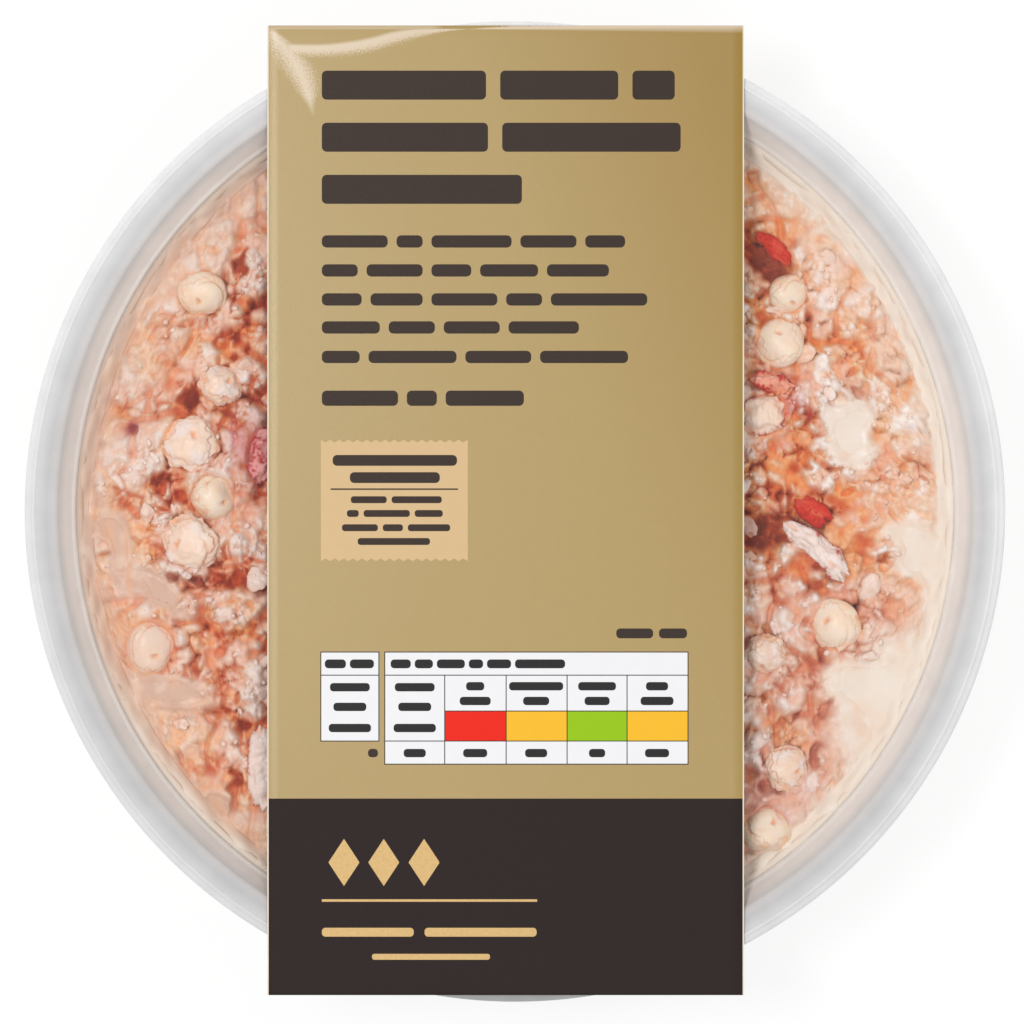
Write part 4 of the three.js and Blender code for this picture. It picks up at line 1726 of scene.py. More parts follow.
    def cracks(self, food: Relief) -> np.ndarray:
        """Gives the cracks between lumps, open in some places and shut in others.

        Args:
            food: The food's lumps.

        Returns:
            0 off the cracks, up to 1 in the widest.
        """
        region = 0.6 + self.cracked.at(food.places)
        found = []
        for lumps, opening, least, most in (
            (food.lumps, self.wide_cracks, 0.08, self.crack_width),
            (food.grains, self.thin_cracks, 0.06, 0.8 * self.crack_width),
        ):
            width = opening.at(food.places) * region
            share = 1.1 - lumps.margin / (least + most * width)
            found.append(np.clip(share, 0, 1) * smoothstep(0.05, 0.5, width))
        return np.maximum(found[0], 0.6 * found[1])

    def beds(self, places: np.ndarray) -> tuple[np.ndarray, np.ndarray]:
        """Finds what the toppings do to the surface round them.

        Args:
            places: X and Y of each place.

        Returns:
            1 next to a topping, where the food takes a painted shadow, and 0 away from one, and the height
            that its nest holds the food under.
        """
        beside = np.zeros(places.shape[:-1])
        nest = np.full(beside.shape, np.inf)
        for topping in self.toppings:
            away = topping.plan.away(places)
            beside = np.maximum(beside, smoothstep(*self.topping_shadow_band, away))
            bed = topping.middle[2] - self.nest_sunk * topping.height + self.nest_rise * away**2
            nest = np.minimum(nest, np.where(away < self.nest_reach, bed, np.inf))
        return beside, nest

    def low_down(self, places: np.ndarray) -> np.ndarray:
        """Gives 1 in the lower part of the pack, where the food is pinker and softer."""
        return smoothstep(*self.low_band, places[..., 1])

    def colour(self, food: Relief, tint: np.ndarray) -> np.ndarray:
        """Colours the surface: pale crowns, warm cracks and dark gaps, partly own tones, partly painted
        light and shade.

        Args:
            food: The food's lumps.
            tint: Where on the ramps each place lies, before the lumps' own tones.

        Returns:
            One colour a place.
        """
        calm, places = food.calm, food.places
        shifted = tint + 0.7 * (food.lumps.tone - 0.5) + 0.4 * (food.grains.tone - 0.5)
        shifted = np.where(tint > -0.6, shifted, tint)
        rightward, low_down = smoothstep(*self.right_band, places[..., 0]), self.low_down(places)
        broad, small = (patch.at(places) for patch in self.warm_patches)
        warmth = broad + small + (0.5 - 0.4 * low_down) * rightward + 0.25 * calm
        warm = smoothstep(-0.2, 0.9, warmth)
        # The ramps run from painted shade in the gaps to painted light on the crowns.
        colour = blend(ramp(shifted, FLESH_AND_PAINTED_LIGHT_RAMP), ramp(shifted, WARM_FLESH_AND_PAINTED_LIGHT_RAMP), warm)
        # Painted light: the crowns on the right are paler still.
        colour = blend(colour, FOOD.crown, rightward * smoothstep(0.35, 0.95, shifted) * 0.85)
        colour = blend(colour, FOOD.smear, calm * (0.05 + 0.4 * self.smear_streaks.at(places)))
        blotches = self.smear_blotches.at(places)
        colour = blend(colour, FOOD.smear_warm, calm * blotches * (0.6 - 0.25 * rightward))
        colour = blend(colour, FOOD.pale_rose, 0.22 * low_down * rightward)
        for spot in BLUSHES:
            colour = blend(colour, spot.colour, spot.strength * spot.closeness(places))
        # Next to the wall the food takes the sauce's colour, with its painted highlight.
        by_wall = smoothstep(*self.colour_band, reach_of(places) + self.wall_ragged.at(places))
        return blend(colour, SAUCE.at(places), 0.8 * by_wall)


@dataclass(frozen=True)
class Scatter:
    """Many loose pieces on the heap.

    Attributes:
        name: Their object's name.
        cell: Mean distance between them.
        seed: Chooses one scatter.
        clear: Room kept round a topping, as a share of its size.
        sizes: Smallest and largest half length.
        level: How finely each piece is split.
        shape_seed: Chooses their shapes.
    """

    name: str
    cell: float
    seed: int
    clear: float
    sizes: Span
    level: int
    shape_seed: int


@dataclass
class CrabHeap:
    """The heap of flaked crab: a relief core, with loose flakes and crumbs on it.

    Attributes:
        surface: The food's surface.
        radius: The core's radius at the top.
        floor: Height of its underside.
        floor_radius: Its radius there.
        rows: Points along each of its lines.
        shown_step: How far apart the lines are where the food shows.
        hidden_step: The same under the sleeve.
        ends: How far inside its rim the outermost lines lie.
        jitter: How unevenly loose pieces are spread, as a share of their distance.
        under_sleeve: How far under the sleeve's edges they go on.
        off_wall: How far inside its rim they stop.
        off_level: How far below the food's mean height they stop.
        sauce_limits: How close to a pool, and how smeared, their places may be.
        press: How far above the highest crown they may stand.
        loose: What lies on it.
    """

    surface: FoodSurface
    radius: float = 88.2
    floor: float = 32.0
    floor_radius: float = 84.3
    rows: int = 322
    shown_step: float = 0.31
    hidden_step: float = 2.4
    ends: float = 0.4
    jitter: float = 0.9
    under_sleeve: float = 2.0
    off_wall: float = 3.2
    off_level: float = 0.7
    sauce_limits: Span = (0.3, 0.18)
    press: float = 0.4
    loose: tuple[Scatter, ...] = (
        Scatter("crab_flakes", 10.2, 101, 0.2, (1.2, 2.5), 4, 110),
        Scatter("crab_crumbs", 2.9, 201, 0.1, (0.35, 0.9), 2, 210),
    )

    def lines(self) -> np.ndarray:
        """Lays out the core's lines: close together where the food shows, wide under the sleeve.

        Returns:
            The X of each line.
        """
        low, high = self.surface.hidden
        left = np.arange(-self.radius + self.ends, low, self.shown_step)
        middle = np.arange(low, high, self.hidden_step)
        right = np.arange(high, self.radius - self.ends, self.shown_step)
        return np.concatenate((left, middle, right))

    def core(self, finish: bpy.types.Material) -> bpy.types.Object:
        """Makes the core, a closed body with the relief on top.

        Args:
            finish: Its material.

        Returns:
            The core.
        """
        lines = self.lines()
        x = np.repeat(lines[:, None], self.rows, axis=1)
        y = np.sqrt(self.radius**2 - lines**2)[:, None] * np.linspace(-1, 1, self.rows)
        sample = self.surface.sample(paired(x, y))
        top = np.stack((x, y, sample.height), axis=-1).reshape(-1, 3)
        colours = sample.colour.reshape(-1, 3)
        rim = grid_rim(len(lines), self.rows)
        under = top[rim] * (self.floor_radius / self.radius)
        under[:, 2] = self.floor
        foot = np.arange(len(rim)) + len(top)
        sides = np.stack((rim, foot, np.roll(foot, -1), np.roll(rim, -1)), axis=-1)
        faces = grid_quads(len(lines), self.rows).tolist() + sides.tolist() + [foot[::-1].tolist()]
        points, colours = np.concatenate((top, under)), np.concatenate((colours, colours[rim]))
        return make_object("crab_core", points, faces, [finish], colours)

    def spots(self, scatter: Scatter) -> np.ndarray:
        """Scatters places over the heap where it shows, clear of toppings, gaps and pools.

        Args:
            scatter: The pieces that the places are for.

        Returns:
            X and Y of each place.
        """
        reach = int(self.radius / scatter.cell)
        steps = np.arange(-reach, reach + 1)
        cells = np.stack(np.meshgrid(steps, steps, indexing="ij"), axis=-1).reshape(-1, 2)
        jitter = np.stack([lattice_value(cells, scatter.seed + axis) for axis in (0, 1)], axis=-1)
        places = (cells + self.jitter * (jitter - 0.5)) * scatter.cell
        low, high = self.surface.hidden
        by_pool, smeared = self.sauce_limits
        keep = (places[:, 0] < low + self.under_sleeve) | (places[:, 0] > high - self.under_sleeve)
        keep &= reach_of(places) < self.radius - self.off_wall
        keep &= self.surface.pool_closeness(places) < by_pool
        keep &= self.surface.smeared(places) < smeared
        keep &= self.surface.sample(places).height > self.surface.level - self.off_level
        for topping in self.surface.toppings:
            keep &= topping.plan.away(places) > 1 + scatter.clear
        return places[keep]

    def pieces(self, scatter: Scatter, finish: bpy.types.Material) -> bpy.types.Object:
        """Makes one object of many uneven pieces that lie half sunk in the core.

        Args:
            scatter: The pieces' sizes and places.
            finish: Their material.

        Returns:
            The object.
        """
        places = self.spots(scatter)[:, None, :]
        ball, triangles = icosphere(scatter.level)
        seed = scatter.shape_seed
        cells = np.round(places * 50).astype(np.int64)
        draws = [lattice_value(cells, seed + draw) for draw in range(7)]
        calm = self.surface.calm(places)
        least, most = scatter.sizes
        length = (least + (most - least) * draws[0] ** 1.5) * (1 - 0.2 * calm)
        width, depth = length * (0.55 + 0.4 * draws[1]), length * (0.32 + 0.25 * draws[2])
        own = ball[None] + np.stack([100 * draw for draw in draws[3:6]], axis=-1)
        torn, fibres, frayed = (
            smooth_noise(own, cell, seed + number)
            for number, cell in enumerate((0.75, (1.4, 0.5, 0.5), 0.22))
        )
        swell = 1 + 0.42 * torn + 0.14 * fibres + 0.1 * frayed
        shape = ball[None] * swell[..., None] * np.stack((length, width, depth), axis=-1)
        turn, lean = 2 * math.pi * draws[3], 0.8 * (draws[4] - 0.5)
        x = shape[..., 0] * np.cos(turn) - shape[..., 1] * np.sin(turn) + places[..., 0]
        y = shape[..., 0] * np.sin(turn) + shape[..., 1] * np.cos(turn) + places[..., 1]
        ground = self.surface.sample(places)
        rest = np.minimum(ground.height - 0.1 * depth, self.surface.highest - 1.3 * depth)
        crown = self.surface.highest + self.press
        z = np.minimum(shape[..., 2] + shape[..., 0] * lean + rest, crown)
        upward = ball[None, :, 2]
        # Painted light and shade over each piece's torn tones: paler on top, much darker underneath, pearl
        # on some tops.
        tint = np.where(upward > 0, 0.75, 2.4) * upward + 0.5 * (torn + fibres + draws[5] - 0.5)
        colours = ramp(tint * (1 - 0.3 * calm), FLESH_AND_PAINTED_LIGHT_RAMP)
        colours = blend(colours, ground.colour, 0.55 * smoothstep(-0.5, 0.1, upward))
        pearl_and_top_light = smoothstep(0.45, 0.9, draws[6]) * smoothstep(-0.1, 0.6, tint)
        colours = blend(colours, FOOD.pearl, pearl_and_top_light * 0.5)
        for spot in BLUSHES:
            close = spot.closeness(places) * np.ones(tint.shape)
            colours = blend(colours, spot.colour, 0.6 * spot.strength * close)
        starts = (np.arange(len(places)) * len(ball))[:, None, None]
        faces = (triangles[None] + starts).reshape(-1, 3)
        points = np.stack((x, y, z), axis=-1).reshape(-1, 3)
        return make_object(scatter.name, points, faces, [finish], colours.reshape(-1, 3))

    def build(self, finish: bpy.types.Material) -> list[bpy.types.Object]:
        """Makes the core and everything loose on it."""
        return [self.core(finish), *(self.pieces(scatter, finish) for scatter in self.loose)]


@dataclass
class SauceFill:
    """The sauce that fills the tub: it reaches just into the wall, and shows in pools on top.

    Attributes:
        surface: The food's surface.
        segments: Steps round the axis.
        into_wall: How far it reaches into the wall.
        at_lip: How much of that it reaches in at the lip.
        wall_rings: Rings up the wall.
        floor_radii: Radii of the two rings on the floor.
        wall_rise: How far it climbs at the wall.
        hidden_level: Its height under the crab.
        floor: Height of the tub's floor.
        tops: Radii of the rings on top, from the wall inwards.
        climb_band: From where to where, past the wall's line, it climbs.
        shown_band: From where to where, past the wall's line, it begins to show.
        pool_band: How close to a pool it begins to rise from under the crab, and has risen.
        ragged: How uneven its climb at the wall is.
    """

    surface: FoodSurface
    segments: int = 420
    into_wall: float = 0.35
    at_lip: float = 0.6
    wall_rings: int = 18
    floor_radii: Span = (60.0, 77.5)
    wall_rise: float = 2.3
    hidden_level: float = 32.5
    floor: float = 2.8
    tops: tuple[float, ...] = (*np.linspace(90.6, 56, 92), 48.0, 40.0)
    climb_band: Span = (-1.4, 1.8)
    shown_band: Span = (-2.4, -1.4)
    pool_band: Span = (0.2, 0.4)
    ragged: Ripple = Ripple(0.9, 1.8, 93)

    def top_height(self, places: np.ndarray) -> np.ndarray:
        """Works out the sauce's height: level in the pools and at the wall, low under the crab.

        Args:
            places: X and Y of each place.

        Returns:
            The height there.
        """
        reach = reach_of(places)
        climb, beside = (
            [self.surface.wall + past for past in band] for band in (self.climb_band, self.shown_band)
        )
        at_wall = smoothstep(*climb, reach + self.ragged.at(places))
        level = self.surface.pool_top(places) + self.wall_rise * at_wall
        in_pool = smoothstep(*self.pool_band, self.surface.pool_closeness(places))
        shown = np.maximum(in_pool, smoothstep(*beside, reach))
        return self.hidden_level + (level - self.hidden_level) * shown

    def build(self, finish: bpy.types.Material) -> bpy.types.Object:
        """Makes the sauce.

        Args:
            finish: Its material.

        Returns:
            The sauce.
        """
        reach = self.into_wall
        foot, shoulder, lip = (np.array(corner) for corner in WALL_INSIDE)
        foot[0] += reach
        shoulder[0] += reach
        lip[0] += reach * self.at_lip
        climb = [foot + (shoulder - foot) * share for share in np.linspace(0, 1, self.wall_rings)]
        outline = [*((radius, self.floor - reach) for radius in self.floor_radii), *climb, lip]
        turns = full_turn(self.segments)
        around = paired(np.cos(turns), np.sin(turns))
        rings = [(radius * around, np.full(self.segments, height)) for radius, height in outline]
        rings += [(radius * around, self.top_height(radius * around)) for radius in self.tops]
        points = np.concatenate([np.column_stack(ring) for ring in rings])
        quads = grid_quads(len(rings), self.segments, wrap_columns=True)[:, ::-1]
        caps = [list(range(self.segments))[::-1], list(range(len(points) - self.segments, len(points)))]
        side = slice(0, len(outline) * self.segments)
        blotches = points[:, :2].copy()
        turned = np.arctan2(points[side, 1], points[side, 0])
        blotches[side] = np.column_stack((foot[0] * np.abs(turned), points[side, 2]))
        # The sauce's colour carries its painted highlight by the wall.
        faces, colours = quads.tolist() + caps, SAUCE.at(points[:, :2], blotches)
        return make_object("sauce_fill", points, faces, [finish], colours, sharp_angle=70)


class PrawnLook(Enum):
    """How a prawn looks from above; the value is how torn its flaps are."""

    SAUCED = 0.4
    ROUND = 0.35
    FRILLED = 1.0


# Size, yaw, tilt and look of each curled prawn, in the order of their nodes.
PRAWNS = (
    (4.9, 20, 35, PrawnLook.ROUND),
    (5.6, 200, 10, PrawnLook.FRILLED),
    (4.9, 100, 60, PrawnLook.ROUND),
    (5.7, 320, 25, PrawnLook.FRILLED),
    (5.6, 80, 15, PrawnLook.SAUCED),
    (4.1, 150, 40, PrawnLook.FRILLED),
    (4.3, 60, 45, PrawnLook.ROUND),
    (5.3, 240, 20, PrawnLook.ROUND),
    (5.5, 290, 30, PrawnLook.ROUND),
    (4.2, 10, 70, PrawnLook.FRILLED),
    (5.0, 180, 50, PrawnLook.ROUND),
    (4.4, 120, 30, PrawnLook.FRILLED),
    (5.3, 45, 20, PrawnLook.FRILLED),
    (5.2, 300, 40, PrawnLook.ROUND),
    (5.5, 160, 15, PrawnLook.FRILLED),
)


@dataclass
class CurledPrawn:
    """One small prawn curled tight: a ball of torn flaps round a smooth middle, with a curled groove.

    Attributes:
        topping: Where it lies.
        size: Half its length.
        yaw: Degrees that it's turned in plan.
        tilt: How far it leans.
        look: How it looks from above.
        seed: Sets it apart from the other prawns.
        detail: How finely it's split.
        hidden_detail: The same under the sleeve.
        shown_from: How far from the middle of the pack, along X, the food shows.
        flaps: How far from the crown the two flaps end, 1 at the waist.
    """

    topping: Topping
    size: float
    yaw: float
    tilt: float
    look: PrawnLook
    seed: int
    detail: int = 6
    hidden_detail: int = 4
    shown_from: float = 45.0
    flaps: Span = (0.56, 0.9)

    def noise(self, points: np.ndarray, cell: float | Triple, seed: int) -> np.ndarray:
        """Gives smooth noise that differs from prawn to prawn."""
        return smooth_noise(points + 13.7 * self.seed, cell, seed)

    def build(self, finish: bpy.types.Material) -> bpy.types.Object:
        """Makes the prawn where its solid lies.

        Args:
            finish: Its material.

        Returns:
            The prawn.
        """
        shown = abs(self.topping.middle[0]) > self.shown_from
        ball, triangles = icosphere(self.detail if shown else self.hidden_detail)
        frilly = self.look.value
        angle = np.arctan2(ball[:, 1], ball[:, 0])
        polar = np.arccos(np.clip(ball[:, 2], -1, 1)) / (math.pi / 2)
        round_edge = paired(np.cos(angle), np.sin(angle))
        lobes = self.noise(ball, 0.75, 40)
        wrinkles = self.noise(ball, (0.3, 0.3, 0.6), 41)
        pips = self.noise(ball, 0.13, 42)
        buds = np.abs(self.noise(ball, 0.2, 45))
        wander = 0.16 * self.noise(round_edge, 0.5, 43) + 0.08 * self.noise(round_edge, 0.13, 44)
        ends = [polar - self.flaps[0] - wander, polar - self.flaps[1] - 0.6 * wander]
        stepped = sum(smoothstep(0.025, -0.025, end) for end in ends)
        lip = sum(np.exp(-(((end - 0.05) / 0.035) ** 2)) for end in ends)
        curl = (angle / (2 * math.pi) + 0.8 * polar + 0.1 * lobes) % 1.0
        between = smoothstep(0.25, 0.5, polar) * smoothstep(1.3, 0.9, polar)
        groove = np.exp(-(((curl - 0.5) / 0.05) ** 2)) * between
        aside, ahead = ball[:, 0] + 0.3 + 0.08 * wrinkles, ball[:, 1] + 0.22 + 0.05 * pips
        dimple = np.exp(-((aside / 0.09) ** 2) - (ahead / 0.17) ** 2) * (ball[:, 2] > 0)
        outward = smoothstep(0.35, 0.9, polar)
        torn = (0.06 + 0.06 * outward) * wrinkles + 0.03 * pips + (0.02 + 0.05 * outward) * buds
        swell = 1 + 0.12 * lobes + frilly**2 * torn
        swell += frilly * (0.07 * stepped - 0.05 * lip) - 0.08 * groove - 0.15 * dimple
        half = np.array((self.size, 0.92 * self.size, self.topping.height / 2))
        laid = self.topping.lay(ball * swell[:, None] * half, self.yaw, 0.4 * self.tilt)
        colours = self.colours(ball, wrinkles, lip + groove, dimple, outward)
        return make_object(f"{self.topping.node}_flesh", laid, triangles, [finish], colours)

    def colours(
        self,
        ball: np.ndarray,
        wrinkles: np.ndarray,
        folds: np.ndarray,
        dimple: np.ndarray,
        outward: np.ndarray,
    ) -> np.ndarray:
        """Colours the prawn: pearly in the middle, warm in its folds and mottled outwards, partly painted
        light and shade.

        Args:
            ball: The points of the ball that it's made from.
            wrinkles: Its wrinkles, from -1 to 1.
            folds: 1 in its folds.
            dimple: 1 in its dimple.
            outward: 0 in the middle and 1 towards its waist.

        Returns:
            One colour a point.
        """
        torn = self.look.value
        cream = FOOD.prawn_round if self.look is PrawnLook.ROUND else FOOD.cream
        mottled = smoothstep(-0.3, 0.6, self.noise(ball, 0.3, 52)) * (0.3 + 0.7 * torn)
        warm = smoothstep(-0.1, 0.7, self.noise(ball, 0.36, 53))
        pearl_and_top_light = smoothstep(-0.2, 0.5, self.noise(ball, 0.42, 50)) * (1 - 0.75 * outward)
        broken = smoothstep(-0.3, 0.5, self.noise(ball, 0.35, 54))
        under_sauce = 0.5 if self.look is PrawnLook.SAUCED else 0.0
        # Painted light on the crown by the pearl wash; painted shade, warm and orange, towards the sides and
        # in wrinkles, folds and dimple.
        washes = (
            (FOOD.prawn_mottle, mottled * (0.25 + 0.6 * outward)),
            (FOOD.prawn_warm, warm * (0.1 + 0.55 * outward)),
            (FOOD.pearl, pearl_and_top_light * torn),
            (FOOD.orange, smoothstep(-0.25, -0.8, wrinkles) * (0.15 + 0.4 * outward)),
            (FOOD.orange, folds * broken * (0.1 + 0.5 * torn)),
            (FOOD.orange, dimple * 0.8),
            (FOOD.sauce_shade, under_sauce * (0.4 + 0.6 * outward)),
        )
        colour = plain(cream, ball.shape[:1])
        for wash, share in washes:
            colour = blend(colour, wash, share)
        return colour


class LobsterLook(Enum):
    """What a lobster piece shows: the colour of its flesh, how much skin it has and the skin's colour."""

    RED_SKIN = (srgb(222, 66, 44), 0.95, FOOD.red_skin)
    CRIMSON_SKIN = (srgb(234, 158, 158), 0.72, FOOD.crimson_skin)
    PINK_FLESH = (srgb(248, 168, 144), 0.45, FOOD.red_skin)
    WHITE_FLESH = (srgb(252, 226, 206), 0.1, FOOD.red_skin)
    CLAW = (srgb(246, 228, 222), 0.04, FOOD.red_skin)


# Length, width, height, yaw and look of each lobster piece, in the order of their nodes.
LOBSTER_PIECES = (
    (9.4, 3.2, 3, -40, LobsterLook.RED_SKIN),
    (8.6, 7.8, 6, 10, LobsterLook.WHITE_FLESH),
    (8.2, 3.4, 4, -12, LobsterLook.PINK_FLESH),
    (7.4, 4.4, 4, -32, LobsterLook.RED_SKIN),
    (16.4, 5, 5, -40, LobsterLook.CLAW),
    (10.5, 5, 5, 82, LobsterLook.CRIMSON_SKIN),
    (17, 6, 6, 92, LobsterLook.CLAW),
    (14, 7, 6, 25, LobsterLook.PINK_FLESH),
    (16, 7, 6, -35, LobsterLook.RED_SKIN),
)


@dataclass
class LobsterPiece:
    """One torn piece of lobster, with fibres along it.

    Attributes:
        topping: Where it lies.
        length: Its length before it's torn.
        width: Its width before it's torn.
        height: Its height before it's torn.
        yaw: Degrees that it's turned in plan.
        look: What it shows.
        seed: Sets it apart from the other pieces.
        rings: Steps along it.
        sides: Steps round it.
    """

    topping: Topping
    length: float
    width: float
    height: float
    yaw: float
    look: LobsterLook
    seed: int
    rings: int = 84
    sides: int = 56

    def build(self, finish: bpy.types.Material) -> bpy.types.Object:
        """Makes the piece where its solid lies.

        Args:
            finish: Its material.

        Returns:
            The piece.
        """
        share = np.repeat(np.linspace(0.002, 0.998, self.rings)[:, None], self.sides, axis=1)
        around = np.repeat(full_turn(self.sides)[None, :], self.rings, axis=0)
        none = np.zeros(share.shape)
        drift = self.seed * 17.9
        off_middle = np.abs(2 * share - 1)
        girth = (1 - off_middle**5) ** 0.5
        bend = 0.2 * self.length * share * (1 - share)
        out = np.stack((none, np.cos(around), np.sin(around)), axis=-1)
        shape = np.array((1, self.width / 2, self.height / 2)) * out * girth[..., None]
        points = np.stack(((share - 0.5) * self.length, bend, none), axis=-1) + shape
        torn = smooth_noise(points + drift, 1.9, 30)
        fibres = smooth_noise(points + drift, (3.6, 0.8, 0.8), 31)
        crumbs = smooth_noise(points + drift, 0.45, 32)
        points = points + out * (0.75 * torn + 0.38 * fibres + 0.2 * crumbs)[..., None]
        frayed = smoothstep(0.6, 1.0, off_middle)
        points[..., 0] += 1.6 * smooth_noise(points + drift, (9, 0.8, 0.8), 33) * frayed
        laid = self.topping.lay(points.reshape(-1, 3), self.yaw)
        count = self.rings * self.sides
        ends = [list(range(self.sides)), list(range(count - 1, count - self.sides - 1, -1))]
        faces = grid_quads(self.rings, self.sides, wrap_columns=True).tolist() + ends
        colours = self.colours(fibres, torn, crumbs, around).reshape(-1, 3)
        return make_object(f"{self.topping.node}_flesh", laid, faces, [finish], colours)

    def colours(
        self, fibres: np.ndarray, torn: np.ndarray, crumbs: np.ndarray, around: np.ndarray
    ) -> np.ndarray:
        """Colours the flesh and its skin by what the piece shows.

        Args:
            fibres: Its fibres, from -1 to 1.
            torn: How its shape is torn, from -1 to 1.
            crumbs: Its finest relief, from -1 to 1.
            around: Angle round it.

        Returns:
            One colour a point.
        """
        flesh, skin, red = self.look.value
        edge = smoothstep(0.2, 0.9, np.abs(np.cos(around)))
        marked = 0.5 * torn + 0.3 * crumbs + 0.5 * edge * (1 - skin)
        reddened = smoothstep(0.55 - skin, 1.0 - skin, marked)
        dark = smoothstep(0.1, 0.7, crumbs + 0.6 * torn) * reddened
        washes = (
            (FOOD.pearl, smoothstep(0.0, 0.7, fibres) * 0.6 * (1 - skin)),
            (FOOD.peach, smoothstep(-0.15, -0.7, fibres) * 0.6 * (1 - 0.7 * skin)),
            (red, reddened * 0.9),
            (FOOD.dark_skin, dark * 0.5),
        )
        colour = plain(flesh, torn.shape)
        for wash, share in washes:
            colour = blend(colour, wash, share)
        return colour


@dataclass
class SauceBead:
    """The bead of sauce that is squeezed into the lid's corner.

    Attributes:
        radius: Radius of the ring that it makes.
        height: Height of its middle.
        half_width: Half its width.
        half_height: Half its height.
        slant: How far its outer side stands above its inner side, next to the middle.
        highest: The underside of the lid.
        segments: Steps round the ring.
        sides: Steps round the bead.
        swells: How unevenly it reaches inwards.
    """

    radius: float = 89.5
    height: float = 41.3
    half_width: float = 0.8
    half_height: float = 0.7
    slant: float = 0.5
    highest: float = 42.85
    segments: int = 360
    sides: int = 10
    swells: tuple[Ripple, Ripple] = (Ripple(0.3, 1.6, 22), Ripple(0.2, 0.5, 23))

    def build(self, finish: bpy.types.Material) -> bpy.types.Object:
        """Makes the bead.

        Args:
            finish: Its material.

        Returns:
            The bead.
        """
        turns, sides = full_turn(self.segments)[:, None], full_turn(self.sides)[None, :]
        ring = np.concatenate((np.cos(turns), np.sin(turns)), axis=1) * 20
        swell = sum(wave.at(ring)[:, None] for wave in self.swells)
        inward = smoothstep(0.2, -0.6, np.cos(sides))
        radius = self.radius + self.half_width * np.cos(sides) * (1 + swell * inward)
        height = self.height + self.half_height * np.sin(sides) + self.slant * np.cos(sides)
        height = np.repeat(np.minimum(height, self.highest), self.segments, axis=0)
        points = np.stack((radius * np.cos(turns), radius * np.sin(turns), height), axis=-1)
        points = points.reshape(-1, 3)
        quads = grid_quads(self.segments, self.sides, wrap_rows=True, wrap_columns=True)
        # It takes the sauce's colour, and with it the painted highlight by the wall.
        return make_object("sauce_bead", points, quads, [finish], SAUCE.at(points[:, :2]))


# ---- card sleeve -------------------------------------------------------------------------------


